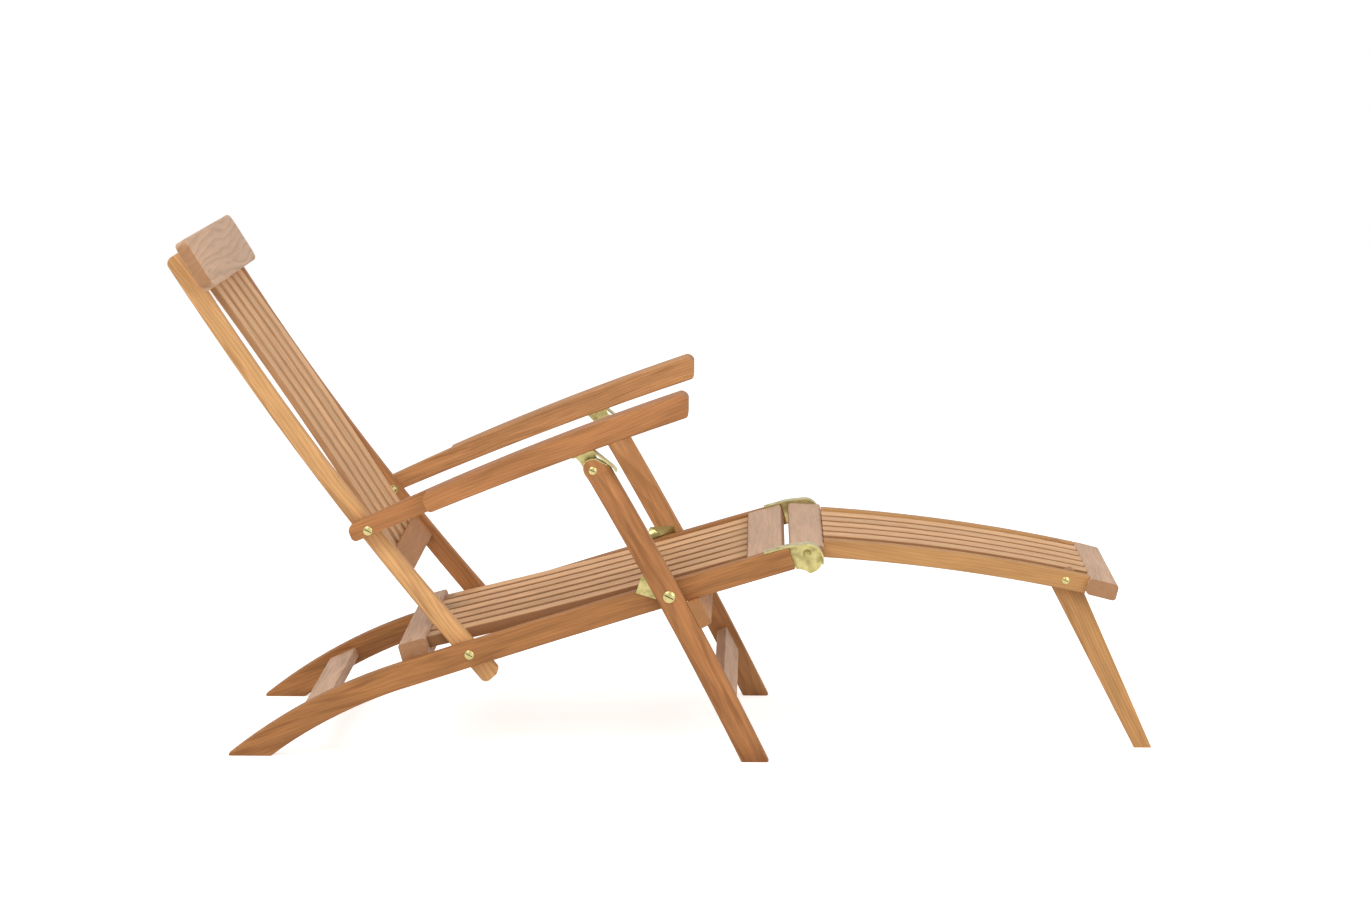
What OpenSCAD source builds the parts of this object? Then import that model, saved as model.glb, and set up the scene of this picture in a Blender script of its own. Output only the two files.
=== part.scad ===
// Folding deck chair with a leg rest, in oiled hardwood with brass fittings.
// X runs from the head end to the foot end, Y runs across, Z runs up. Sizes are in millimetres.
// Side outlines are drawn in a flat frame: first value along the chair, second value up.

/* [Seat rails] */
// Outside width over the two seat rails
frame_w = 501; // [480:1:530]
// Thickness of a seat rail
rail_thick = 24; // [21:1:27]
// Depth of a seat rail at its rear foot
rail_foot_depth = 45; // [42:1:48]
// Depth of a seat rail where the seat begins
rail_depth = 41; // [40:1:44]
// Depth of a seat rail at its front end
rail_tip_depth = 37; // [34:1:40]
// Angle of the rail above the floor at its rear foot
foot_rise = 38; // [36.5:0.5:39.5]
// Angle of the rail above the floor where the seat begins
seat_rise = 18.2; // [17.6:0.2:19]
// Angle of the rail above the floor at its front end
tip_rise = 16.4; // [15.6:0.2:17.2]
// Length of the bent rear part of the rail
rear_run = 283.5; // [272:0.5:295]
// Length of the long front part of the rail
seat_run = 670; // [655:1:685]

/* [Seat] */
// Width of the board across the front of the seat
front_board_w = 59; // [52:1:62]
// Thickness of the board across the front of the seat
front_board_thick = 26; // [22:1:30]
// Distance from the rail's front end back to the front board
front_board_set_back = 12; // [10:1:16]
// Width of the board across the rear of the seat
rear_board_w = 46; // [40:1:50]
// Thickness of the board across the rear of the seat
rear_board_thick = 40; // [36:1:44]
// Height of the rear board's top above the rail
rear_board_rise = 26; // [22:1:29]
// Distance along the rail to the middle of the rear board
rear_board_at = 316; // [312:1:320]
// Number of slats in the seat
seat_slat_count = 7; // [5:1:7]
// Width of a seat slat
seat_slat_w = 38; // [34:1:42]
// Thickness of a seat slat
seat_slat_thick = 14; // [11:1:16]
// Distance between the middles of neighbouring seat slats
seat_slat_pitch = 58; // [54:1:59]
// Turn of the seat slats along their length, which dishes the seat
seat_slat_turn = 3; // [1:0.5:5]
// Width of the stretcher between the rails near their feet
rear_stretcher_w = 50; // [44:1:56]
// Thickness of the stretcher between the rails near their feet
rear_stretcher_thick = 17; // [14:1:20]
// Distance along the rail to the rear stretcher
rear_stretcher_at = 128; // [115:1:140]

/* [Backrest] */
// Distance along the rail to the backrest pivot
back_pivot_at = 403.8; // [399:0.2:409]
// Mean lean of the backrest from upright
back_lean = 36.3; // [35:0.1:37.6]
// Turn of a stile over its length, which dishes the backrest
back_bow = 8.2; // [7:0.1:9]
// Length of a stile above its pivot
stile_up = 806; // [790:1:820]
// Length of a stile below its pivot
stile_down = 56; // [52:1:58]
// Distance of a stile's rear edge behind the middle of its pivot
stile_behind = 17; // [16:0.5:19]
// Distance of a stile's front edge before the middle of its pivot, at the low end
stile_before_low = 16.5; // [15:0.5:18]
// Distance of a stile's front edge before the pivot's line, at the top
stile_before_top = 14.5; // [13:0.5:16]
// Extra turn of the stile's front edge, which makes the stile slimmer in its middle
stile_hollow = 1.6; // [0.6:0.1:2]
// Radius of the rear corner at the top of a stile
stile_top_r = 14; // [10:1:16]
// Thickness of a stile
stile_thick = 24; // [21:1:27]
// Height of the headboard, measured along the stiles
headboard_h = 91; // [80:1:100]
// Thickness of the headboard
headboard_thick = 22.5; // [19:0.5:25]
// Width of the headboard
headboard_w = 516; // [500:1:540]
// Distance that the headboard stands past the tops of the stiles
headboard_over = 13; // [8:1:18]
// Distance from the pivot up to the lower back rail
lower_rail_at = 158; // [150:1:170]
// Height of the lower back rail, measured along the stiles
lower_rail_h = 47; // [42:1:52]
// Thickness of the lower back rail
lower_rail_thick = 20; // [17:1:22]
// Distance of the lower back rail's face behind the faces of the stiles
lower_rail_inset = 9; // [6:1:11]
// Number of slats in the backrest
back_slat_count = 5; // [4:1:5]
// Width of a back slat
back_slat_w = 38; // [34:1:44]
// Thickness of a back slat
back_slat_thick = 12; // [10:0.5:13]
// Distance between the middles of neighbouring back slats
back_slat_pitch = 67; // [60:1:72]

/* [Arms] */
// Distance up the stile from the backrest pivot to the arm pivot
arm_pivot_up = 261.8; // [255:0.2:268]
// Distance of the arm pivot before the line through the backrest pivot
arm_pivot_forward = 2.1; // [0:0.1:4]
// Width of an armrest
arm_w = 57; // [53:1:61]
// Thickness of the tongue at the arm's rear end
arm_tongue_thick = 24; // [21:1:26]
// Height of the arm at its rear end
arm_rear_depth = 27.5; // [26:0.5:30]
// Height of the arm at its front end
arm_front_depth = 39.5; // [37:0.5:42]
// Distance that the arm's underside lies below its pivot
arm_under = 9.5; // [8:0.5:11]
// Distance that the tongue runs past the pivot
arm_tail = 30; // [26:1:33]
// Distance from the pivot to the full width of the arm
arm_shoulder_at = 106; // [90:1:120]
// Distance that the front end lies past the leg's top screw
arm_overhang = 154; // [144:0.5:162]
// Radius of the arm's upper corners
arm_high_r = 13; // [9:0.5:15]
// Radius of the arm's lower corners
arm_low_r = 9; // [6:0.5:12]
// Turn of the arm's upper edge over its length
arm_top_turn = 6.9; // [6:0.1:7.4]
// Turn of the arm's lower edge over its length
arm_low_turn = 4.8; // [4:0.1:5.2]

/* [Front legs] */
// Distance along the rail to the front leg's pivot
leg_pivot_at = 746.2; // [740:0.2:752]
// Lean of the front leg from upright at its pivot
leg_lean = 28.4; // [27:0.1:29.4]
// Turn of a front leg over its length
leg_bow = 4.4; // [3:0.1:5.6]
// Depth of a front leg
leg_depth = 40.5; // [38:0.5:43]
// Thickness of a front leg
leg_thick = 24; // [21:1:27]
// Distance up the leg from its pivot to its top screw
leg_top_up = 240.1; // [236:0.1:245]
// Distance of the top screw behind the leg's middle line
leg_top_back = 6.7; // [5:0.1:8]
// Radius of the rounded top of the leg
leg_top_r = 18; // [16:0.5:19]
// Distance of the top screw below the line of the arm pivot
leg_top_drop = 37; // [35:0.5:39]
// Width of the stretcher between the front legs
front_stretcher_w = 49; // [42:1:56]
// Thickness of the stretcher between the front legs
front_stretcher_thick = 19; // [16:1:21]
// Distance down the leg from its pivot to the front stretcher
front_stretcher_down = 196; // [185:1:205]
// Width of the stop bar under the rails
stop_bar_w = 50; // [44:1:56]
// Thickness of the stop bar under the rails
stop_bar_thick = 20; // [17:1:23]

/* [Leg rest] */
// Distance of the leg rest's hinge past the rail's front end
hinge_reach = 25.2; // [24:0.2:28]
// Distance of the leg rest's hinge below the middle line of the rail
hinge_drop = 2.3; // [0:0.1:4]
// Width of the leg rest's hinged board
hinge_board_w = 56; // [54:1:58]
// Thickness of the leg rest's hinged board
hinge_board_thick = 24; // [21:1:27]
// Slope of the leg rest at its hinged board, downwards
rest_fall = 3.4; // [2.4:0.1:4.4]
// Turn of the leg rest over the length of its rails, downwards
rest_turn = 8.6; // [7:0.1:10]
// Length of the leg rest's rails between the two boards
rest_run = 437; // [420:1:450]
// Outside width over the leg rest's rails
rest_w = 352; // [340:1:366]
// Thickness of a leg rest rail
rest_rail_thick = 22; // [20:1:24]
// Depth of a leg rest rail
rest_rail_depth = 29.5; // [27:0.5:32]
// Number of slats in the leg rest
rest_slat_count = 5; // [3:2:5]
// Width of a leg rest slat
rest_slat_w = 36; // [32:1:38]
// Thickness of a leg rest slat
rest_slat_thick = 13; // [10:1:15]
// Width of the foot board
foot_board_w = 50; // [46:1:56]
// Thickness of the foot board
foot_board_thick = 27; // [24:1:30]
// Length of the foot board across the chair
foot_board_len = 372; // [366:1:400]

/* [Prop legs] */
// Distance of the prop leg's pivot from the foot end of the leg rest's rail
prop_pivot_from_end = 36; // [33:1:40]
// Lean of a prop leg from upright
prop_lean = 25.7; // [24:0.1:27]
// Depth of a prop leg near its pivot
prop_top_depth = 46; // [42:1:48]
// Depth of a prop leg at the floor
prop_foot_depth = 26; // [24:1:32]
// Distance of the prop leg's middle line behind its pivot
prop_behind = 3; // [0:0.5:4]
// Thickness of a prop leg
prop_thick = 20; // [17:1:22]
// Distance down the prop leg to its stretcher
prop_stretcher_down = 205; // [180:1:230]
// Width of the stretcher between the prop legs
prop_stretcher_w = 40; // [32:1:46]
// Thickness of the stretcher between the prop legs
prop_stretcher_thick = 16; // [13:1:19]

/* [Brass] */
// Thickness of the brass plates
plate_thick = 2.5; // [2:0.1:2.8]
// Thickness of the brass cap on the top of the leg
cap_thick = 1.2; // [0.8:0.1:1.6]
// Radius of the pivot bolts
bolt_r = 4; // [3.5:0.1:4.5]
// Radius of the slotted head on the backrest and arm bolts
bolt_head_r = 7.5; // [7:0.1:8.5]
// Radius of the slotted head on the front leg bolts
leg_bolt_head_r = 9.7; // [9:0.1:10.5]
// Radius of the prop leg bolts and the hinge pins
pin_r = 3.5; // [3:0.1:4]
// Radius of the slotted head on the prop leg bolts and the hinge pins
pin_head_r = 6; // [5.5:0.1:7]
// Radius of the slotted head on the leg's top screw
top_screw_head_r = 6.5; // [6:0.1:7.5]
// Radius of the wood screws in the brackets
screw_r = 1.8; // [1.5:0.1:2.2]
// Radius of the slotted heads on the wood screws
screw_head_r = 3.8; // [3.3:0.1:4.4]
// Wall of the domed nuts around the bolt
nut_wall = 1.6; // [1.2:0.1:2.2]
// Radius of the hood over the leg rest's hinge
hood_r = 25.5; // [24:0.5:27]
// Distance of the hood's middle before the hinge
hood_ahead = 1; // [0:0.5:2]
// Distance of the hood's middle below the hinge
hood_below = 8; // [6:0.5:10]
// Length of the hinge bracket's flange on the rail
hinge_flange_len = 30; // [26:1:34]
// Distance of the hinge bracket's point before the hinge
tail_forward = 4.6; // [3.6:0.2:5.6]
// Distance of the hinge bracket's point below the hinge
tail_fall = 34; // [33:0.5:35]
// Radius of the hollow in the lower edge of the hinge bracket's cheek
hollow_r = 25; // [24:0.5:25.5]
// Distance of that hollow's middle behind the hinge
hollow_back = 13; // [11:0.5:15]
// Distance of that hollow's middle below the hinge
hollow_fall = 51.6; // [50.6:0.2:53]

/* [Clearances] */
// Gap between a seat rail and a stile
stile_gap = 2.5; // [2:0.1:3.5]
// Gap between a seat rail and a front leg
leg_gap = 3; // [2.8:0.1:3.6]
// Gap between a stile and an arm
arm_gap = 3.5; // [2.5:0.1:4.5]
// Gap between a hinge bracket and the leg rest's hinged board
hinge_gap = 3.5; // [2.5:0.1:5]
// Gap between a leg rest rail and a prop leg
prop_gap = 2.5; // [2:0.1:3.5]
// Play left where a flat piece is fixed to a curved edge
fit_gap = 0.1; // [0.08:0.01:0.15]
// Gap at a face where one moving part rests on another
rest_gap = 0.3; // [0.25:0.05:0.5]
// Radial play of a pivot bolt in the part that turns on it
pivot_play = 0.05; // [0.03:0.01:0.08]
// Radius of the eased edges of the boards
ease = 2.5; // [1.5:0.5:3]

/* [Hidden] */
$fn = 48;
arc_fn = 1440;
teak = [0.72, 0.45, 0.24];
teak_light = [0.78, 0.55, 0.36];
brass = [0.84, 0.72, 0.38];
wide = 2000;
// Inset and overlap where two solids of one board run into each other
joint_inset = 0.12;
joint_overlap = 3;
// Depth of the cut that blunts a leaning foot's toe
toe_cut = ease + 0.6;

// Unit vectors along a heading and to its left
function along(heading) = [cos(heading), sin(heading)];
function left_of(heading) = [-sin(heading), cos(heading)];
// Heading from one point to another
function heading_to(a, b) = atan2(b.y - a.y, b.x - a.x);
// Point reached from p along an arc of the given run and turn
function walk(p, heading, run, turn) =
    p + run * (abs(turn) < 0.01 ? 1 : sin(turn / 2) / (turn / 2 * PI / 180)) * along(heading + turn / 2);

// Sideways places, for the left side
rail_out = frame_w / 2;
rail_in = rail_out - rail_thick;
stile_out = rail_in - stile_gap;
stile_in = stile_out - stile_thick;
leg_in = rail_out + leg_gap;
leg_out = leg_in + leg_thick;
arm_in = stile_out + arm_gap;
arm_out = arm_in + arm_w;
tongue_out = arm_in + arm_tongue_thick;
cheek_in = rail_in - plate_thick;
hinge_board_end = cheek_in - hinge_gap;
rest_rail_out = rest_w / 2;
rest_rail_in = rest_rail_out - rest_rail_thick;
prop_out = rest_rail_in - prop_gap;
prop_in = prop_out - prop_thick;

// Middle line of a seat rail, by the distance from its foot
rail_foot = [rail_foot_depth / 2 / sin(foot_rise), 0];
rail_joint = walk(rail_foot, foot_rise, rear_run, seat_rise - foot_rise);
rail_tip = walk(rail_joint, seat_rise, seat_run, tip_rise - seat_rise);
rail_len = rear_run + seat_run;
function seat_turn(s) = (tip_rise - seat_rise) * (s - rear_run) / seat_run;
function foot_turn(s) = (seat_rise - foot_rise) * s / rear_run;
function rail_heading(s) = s < rear_run ? foot_rise + foot_turn(s) : seat_rise + seat_turn(s);
function rail_mid(s) = s < rear_run ? walk(rail_foot, foot_rise, s, foot_turn(s))
    : walk(rail_joint, seat_rise, s - rear_run, seat_turn(s));
function rail_half(s) = rail_depth / 2
    + (rail_foot_depth - rail_depth) / 2 * pow(max(0, rear_run - s) / rear_run, 2)
    - (rail_depth - rail_tip_depth) / 2 * pow(max(0, s - rear_run) / seat_run, 2);
function rail_spot(s, up) = rail_mid(s) + up * left_of(rail_heading(s));
function rail_top(s, up) = rail_spot(s, rail_half(s) + up);

// Middle line of a backrest stile, by the distance above its pivot
back_pivot = rail_mid(back_pivot_at);
function stile_heading(u) = 90 + back_lean + back_bow * (0.5 - u / stile_up);
function stile_spot(u, forward) =
    walk(back_pivot, stile_heading(0), u, -back_bow * u / stile_up) - forward * left_of(stile_heading(u));

// Front edge of a stile, by the distance above its pivot
stile_len = stile_up + stile_down;
front_low = stile_spot(-stile_down, stile_before_low);
front_top = stile_spot(stile_up, stile_before_top);
front_turn = back_bow * stile_len / stile_up + stile_hollow;
front_run = norm(front_top - front_low) * front_turn / 2 * PI / 180 / sin(front_turn / 2);
function front_heading(u) =
    heading_to(front_low, front_top) + front_turn * (0.5 - (u + stile_down) / stile_len);
function front_spot(u, forward) =
    let (t = (u + stile_down) / stile_len)
    walk(front_low, front_heading(-stile_down), front_run * t, -front_turn * t)
    - forward * left_of(front_heading(u));

// Middle line of a front leg, by the distance above its pivot
leg_pivot = rail_mid(leg_pivot_at);
leg_down = leg_pivot.y / cos(leg_lean) + leg_depth;
leg_len = leg_top_up + leg_down;
function leg_heading(u) = 90 + leg_lean + leg_bow * u / leg_len;
function leg_spot(u, back) =
    walk(leg_pivot, leg_heading(0), u, leg_bow * u / leg_len) + back * left_of(leg_heading(u));
leg_top = leg_spot(leg_top_up, leg_top_back);
leg_foot_u = -leg_pivot.y / cos(leg_lean);
leg_foot = leg_spot(leg_foot_u, 0);
leg_toe_x = leg_foot.x - leg_foot.y / tan(leg_heading(leg_foot_u))
    + (leg_depth / 2 - toe_cut) / sin(leg_heading(leg_foot_u));
leg_front_round = 8;
leg_front_corner = leg_spot(leg_top_up - 10, leg_front_round + 0.15 - leg_depth / 2);

// Arm frame: origin at the arm pivot, first axis along the arm
arm_pivot = stile_spot(arm_pivot_up, arm_pivot_forward);
arm_link = norm(leg_top - arm_pivot);
arm_rise = heading_to(arm_pivot, leg_top) + asin(leg_top_drop / arm_link);
arm_top_screw = sqrt(arm_link * arm_link - leg_top_drop * leg_top_drop);
arm_len = arm_top_screw + arm_overhang / cos(arm_rise) + arm_front_depth * tan(arm_rise) / 2;
arm_low_rear = [-arm_tail, -arm_under];
arm_low_front = [arm_len, -arm_under - 1.5];
arm_high_rear = [-arm_tail, arm_rear_depth - arm_under];
arm_high_front = [arm_len, arm_front_depth - arm_under - 1.5];
function arm_spot(p) = arm_pivot + p.x * along(arm_rise) + p.y * left_of(arm_rise);
// Height at x of an arc from a to b, by its rise over the chord
function arc_height(a, b, turn, x) =
    let (t = (x - a.x) / (b.x - a.x))
    a.y + (b.y - a.y) * t + norm(b - a) * turn * PI / 180 / 2 * t * (1 - t);
function arm_low(x) = arc_height(arm_low_rear, arm_low_front, arm_low_turn, x);
function arm_high(x) = arc_height(arm_high_rear, arm_high_front, arm_top_turn, x);
// Headings of the arm's lower and upper edges at x
function arm_low_heading(x) = arm_rise + heading_to(arm_low_rear, arm_low_front)
    + arm_low_turn * (0.5 - (x + arm_tail) / (arm_len + arm_tail));
function arm_high_heading(x) = arm_rise + heading_to(arm_high_rear, arm_high_front)
    + arm_top_turn * (0.5 - (x + arm_tail) / (arm_len + arm_tail));

// Middle line of the leg rest, by the distance from its hinged board
rest_pivot = rail_tip + hinge_reach * along(tip_rise) - hinge_drop * left_of(tip_rise);
rest_start = rest_pivot + hinge_board_w / 2 * along(-rest_fall / 2);
function rest_heading(s) = -rest_fall - rest_turn * s / rest_run;
function rest_spot(s, up) =
    walk(rest_start, -rest_fall, s, -rest_turn * s / rest_run) + up * left_of(rest_heading(s));
foot_board_drop = 2;
foot_board_tilt = rest_heading(rest_run) - foot_board_drop;
foot_board_mid = rest_spot(rest_run, 0) + foot_board_w / 2 * along(foot_board_tilt);
prop_pivot = rest_spot(rest_run - prop_pivot_from_end, 0);
prop_len = prop_pivot.y / cos(prop_lean);

// The chair's middle, so that the model stands with its origin under the middle of its length
back_end = stile_spot(stile_up - stile_top_r, stile_top_r - stile_behind).x - stile_top_r;
foot_end = prop_pivot.x + prop_pivot.y * tan(prop_lean)
    + (prop_foot_depth / 2 - prop_behind) / cos(prop_lean);
mid_x = (back_end + foot_end) / 2;

// Places parts built for the left side on the asked side
module on_side(side) {
    translate([-mid_x, 0, 0]) mirror([0, side < 0 ? 1 : 0, 0]) children();
}
module both_sides() {
    on_side(1) children();
    on_side(-1) children();
}
module centred() {
    translate([-mid_x, 0, 0]) children();
}

// Carries a side outline across the chair from y0 to y1
module across(y0, y1) {
    translate([0, y1, 0]) rotate([90, 0, 0]) linear_extrude(y1 - y0) children();
}

// Cylinder across the chair at a side point
module rod(p, y0, y1, r) {
    translate([p.x, y0, p.y]) rotate([-90, 0, 0]) cylinder(h = y1 - y0, r = r);
}

// Rectangle with round corners, centred
module soft_rect(w, h, r) {
    square([w - 2 * r, h], center = true);
    square([w, h - 2 * r], center = true);
    for (x = [-1, 1], y = [-1, 1]) translate([x * (w / 2 - r), y * (h / 2 - r)])
        circle(r, $fn = 48);
}

// Strip whose near edge lies at x = 0 with its two corners eased
module eased_strip(reach, thick, r) {
    translate([r, -thick / 2]) square([reach - r, thick]);
    translate([0, r - thick / 2]) square([r, thick - 2 * r]);
    for (y = [-1, 1]) translate([r, y * (thick / 2 - r)]) circle(r, $fn = 48);
}

// Outline of two circles and the band between them
module belt(a, ra, b, rb) {
    spread = acos((ra - rb) / norm(b - a));
    h = heading_to(a, b);
    translate(a) circle(ra);
    translate(b) circle(rb);
    polygon([a + ra * along(h + spread), a + ra * along(h - spread),
             b + rb * along(h - spread), b + rb * along(h + spread)]);
}

// Sweeps a section (first axis away from the centre, second across) along an arc from a to b
module arc_sweep(a, b, turn, over) {
    r = norm(b - a) / 2 / sin(abs(turn) / 2);
    side = sign(turn);
    h = heading_to(a, b);
    centre = a + side * r * left_of(h - turn / 2);
    low = h - abs(turn) / 2 - 90 * side;
    extra = over / r * 180 / PI;
    translate([centre.x, 0, centre.y]) rotate([90, 0, 0]) rotate([0, 0, low - extra])
        rotate_extrude(angle = abs(turn) + 2 * extra, $fn = arc_fn) translate([r, 0]) children();
}

// Board of even depth along an arc, from y0 to y1 across, running past its ends by over
module arc_board(a, b, turn, depth, y0, y1, over = 0) {
    translate([0, (y0 + y1) / 2, 0])
        arc_sweep(a, b, turn, over) soft_rect(depth, y1 - y0, ease);
}

// Board that lies on one side of an arc, with that edge eased: side 1 is left of the way from a to b
module edge_board(a, b, turn, side, reach, y0, y1, over = 0) {
    outward = -sign(turn) * side;
    translate([0, (y0 + y1) / 2, 0])
        arc_sweep(a, b, turn, over) scale([outward, 1]) eased_strip(reach, y1 - y0, ease);
}

// Cuts everything past a side point in the given heading
module past(p, heading) {
    across(-wide, wide) translate(p) rotate(heading) translate([0, -wide / 2]) square([wide, wide]);
}

// Cutter that rounds a corner of a side outline. The wood lies between the headings a and b.
// Its circle is a little larger than r, so that it crosses both edges and doesn't only touch them.
module corner_outline(p, a, b, r) {
    mid = (a + b) / 2;
    half = (b - a) / 2;
    centre = p + r / sin(half) * along(mid);
    translate(centre) difference() {
        polygon([[0, 0], -2 * r * left_of(a), 2 * (p - centre), 2 * r * left_of(b)]);
        circle(1.03 * r);
    }
}
module corner_cut(p, a, b, r, y0, y1) {
    across(y0, y1) corner_outline(p, a, b, r);
}

// Everything below the floor
module floor_outline() {
    translate([-wide / 2, -wide]) square([2 * wide, wide]);
}
module below_floor() {
    across(-wide, wide) floor_outline();
}

// Everything below the floor, and the sharp toe of a leaning foot, cut square to the foot's heading.
// The cut starts on the floor at x. The side is 1 where the toe lies left of the heading.
module foot_cut(x, heading, side) {
    across(-wide, wide) {
        floor_outline();
        translate([x, 0]) rotate(heading) translate([-4 * toe_cut, side > 0 ? 0 : -4 * toe_cut])
            square(4 * toe_cut);
    }
}

// Domed screw head with a slot, its flat base at z = 0
module slotted_head(r, h) {
    crown = 0.65 * h;
    crown_r = (r * r + crown * crown) / (2 * crown);
    slot_w = 0.2 * r;
    slot_depth = 0.4 * h;
    difference() {
        intersection() {
            cylinder(h = h, r = r);
            translate([0, 0, h - crown_r]) sphere(crown_r, $fn = 96);
        }
        translate([-r, -slot_w / 2, h - slot_depth]) cube([2 * r, slot_w, h]);
    }
}

// Bolt from a side point outwards: shank from y0 to y1, head outside y1
module bolt(p, y0, y1, r, head_r) {
    rod(p, y0, y1, r);
    translate([p.x, y1, p.y]) rotate([-90, 25, 0]) slotted_head(head_r, 0.42 * head_r);
}

// Domed nut on the inner end of a bolt, its flat face at y1, bored to nut_depth
nut_flange = 1.5;
nut_depth = 3;
module dome_nut(p, y1, bore_r) {
    r = bore_r + nut_wall;
    difference() {
        union() {
            rod(p, y1 - nut_flange, y1, 1.35 * r);
            intersection() {
                translate([p.x, y1 - nut_flange, p.y]) sphere(r);
                rod(p, y1 - nut_flange - 2 * r, y1 - nut_flange / 2, 1.2 * r);
            }
        }
        rod(p, y1 - nut_depth, y1 + 1, bore_r);
    }
}

module washer(p, y0, y1, r, bore_r) {
    difference() {
        rod(p, y0, y1, r);
        rod(p, y0 - 1, y1 + 1, bore_r);
    }
}

// Tapered board between two arcs that start or end in the heading of the seat rail's joint
module rail_part(high_a, high_b, low_a, low_b, turn_sign, inset, over_high, over_low) {
    intersection() {
        edge_board(high_a, high_b, 2 * turn_sign * (heading_to(high_a, high_b) - seat_rise), -1,
                   1.5 * rail_foot_depth, rail_in + inset, rail_out - inset, over_high);
        edge_board(low_a, low_b, 2 * turn_sign * (heading_to(low_a, low_b) - seat_rise), 1,
                   1.5 * rail_foot_depth, rail_in + inset, rail_out - inset, over_low);
    }
}

// Seat rail: bent rear part that tapers up to the seat, and long front part that tapers to the tip.
// The bent part runs a little way into the long part, just inside its faces.
module seat_rail() {
    toe = rail_mid(-rail_foot_depth);
    toe_up = rail_half(-rail_foot_depth) * left_of(rail_heading(-rail_foot_depth));
    joint_up = rail_depth / 2 * left_of(seat_rise);
    joint_in_up = (rail_depth / 2 - joint_inset) * left_of(seat_rise);
    tip_up = rail_tip_depth / 2 * left_of(tip_rise);
    difference() {
        union() {
            rail_part(toe + toe_up, rail_joint + joint_in_up, toe - toe_up, rail_joint - joint_in_up,
                      -1, joint_inset, joint_overlap, 2 * joint_overlap);
            intersection() {
                rail_part(rail_joint + joint_up, rail_tip + tip_up, rail_joint - joint_up, rail_tip - tip_up,
                          1, 0, rail_depth, rail_depth);
                past(rail_joint, seat_rise);
                past(rail_tip, tip_rise + 180);
            }
        }
        foot_cut(toe_cut / sin(foot_rise), foot_rise, 1);
        rod(back_pivot, rail_in - 1, rail_out + 1, bolt_r);
        rod(leg_pivot, rail_in - 1, rail_out + 1, bolt_r);
        for (s = hinge_screws_at) hinge_screw(s, screw_r);
    }
}

// Screws through the hinge bracket's flange, by their distance along the rail
flange_clear = 2;
hinge_flange_end = rail_len - front_board_set_back + flange_clear;
hinge_flange_start = hinge_flange_end - hinge_flange_len;
hinge_screw_in = 6;
hinge_screws_at = [hinge_flange_start + hinge_screw_in, hinge_flange_end - hinge_screw_in];
hinge_screw_len = 20;
screw_head_h = 1.4;
module hinge_screw(s, r) {
    p = rail_top(s, plate_thick + 1.5 * fit_gap);
    translate([p.x, (rail_in + rail_out) / 2, p.y]) rotate([0, -rail_heading(s), 0])
        translate([0, 0, -hinge_screw_len]) cylinder(h = hinge_screw_len, r = r);
}

rear_stretcher_lean = 5;
module rear_stretcher() {
    color(teak) centred() across(-rail_in, rail_in)
        translate(rail_mid(rear_stretcher_at)) rotate(rail_heading(rear_stretcher_at) - rear_stretcher_lean)
            soft_rect(rear_stretcher_w, rear_stretcher_thick, ease);
}

rear_board_lean = 2;
rear_board_mid = rail_top(rear_board_at, rear_board_rise - rear_board_thick / 2);
rear_board_tilt = rail_heading(rear_board_at) - rear_board_lean;
module rear_board_outline() {
    translate(rear_board_mid) rotate(rear_board_tilt) soft_rect(rear_board_w, rear_board_thick, 4);
}
module seat_rear_board() {
    color(teak) centred() across(-rail_in, rail_in) rear_board_outline();
}

front_board_at = rail_len - front_board_set_back - front_board_w / 2;
front_board_mid = rail_top(front_board_at, -front_board_thick / 2 - fit_gap);
front_board_tilt = heading_to(rail_top(front_board_at - front_board_w / 2, 0),
                              rail_top(front_board_at + front_board_w / 2, 0));
module front_board_outline() {
    translate(front_board_mid) rotate(front_board_tilt) soft_rect(front_board_w, front_board_thick, 4);
}
module seat_front_board() {
    color(teak) centred() across(-rail_in, rail_in) front_board_outline();
}

// Seat slats: dished boards that run from the rear board to the front board, a little below their tops
slat_below_rear = 4;
slat_below_front = 1;
module seat_slats() {
    sink = seat_slat_thick / 2;
    a = rear_board_mid + rear_board_w / 2 * along(rear_board_tilt)
        + (rear_board_thick / 2 - sink - slat_below_rear) * left_of(rear_board_tilt);
    b = front_board_mid - front_board_w / 2 * along(front_board_tilt)
        + (front_board_thick / 2 - sink - slat_below_front) * left_of(front_board_tilt);
    half = (seat_slat_count - 1) / 2;
    color(teak_light) centred() for (i = [-half:half]) {
        y = i * seat_slat_pitch;
        difference() {
            arc_board(a, b, seat_slat_turn, seat_slat_thick, y - seat_slat_w / 2, y + seat_slat_w / 2, 6);
            past(a, rear_board_tilt + 180);
            past(b, front_board_tilt);
        }
    }
}

// Stop bar: fixed under the rails, just in front of the front legs
stop_bar_reach = 30;
module stop_bar() {
    end = leg_pivot_at + stop_bar_reach;
    top = -rail_depth / 2;
    p = leg_spot(top - stop_bar_w / 2, -leg_depth / 2 - rest_gap - stop_bar_thick / 2);
    color(teak) centred() difference() {
        across(-leg_out, leg_out) translate(p) rotate(leg_heading(top - stop_bar_w / 2))
            soft_rect(stop_bar_w, stop_bar_thick, ease);
        for (side = [0, 1]) mirror([0, side, 0]) seat_rail();
        past(rail_spot(end, -rail_half(end)), rail_heading(end) + 90);
    }
}

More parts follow.
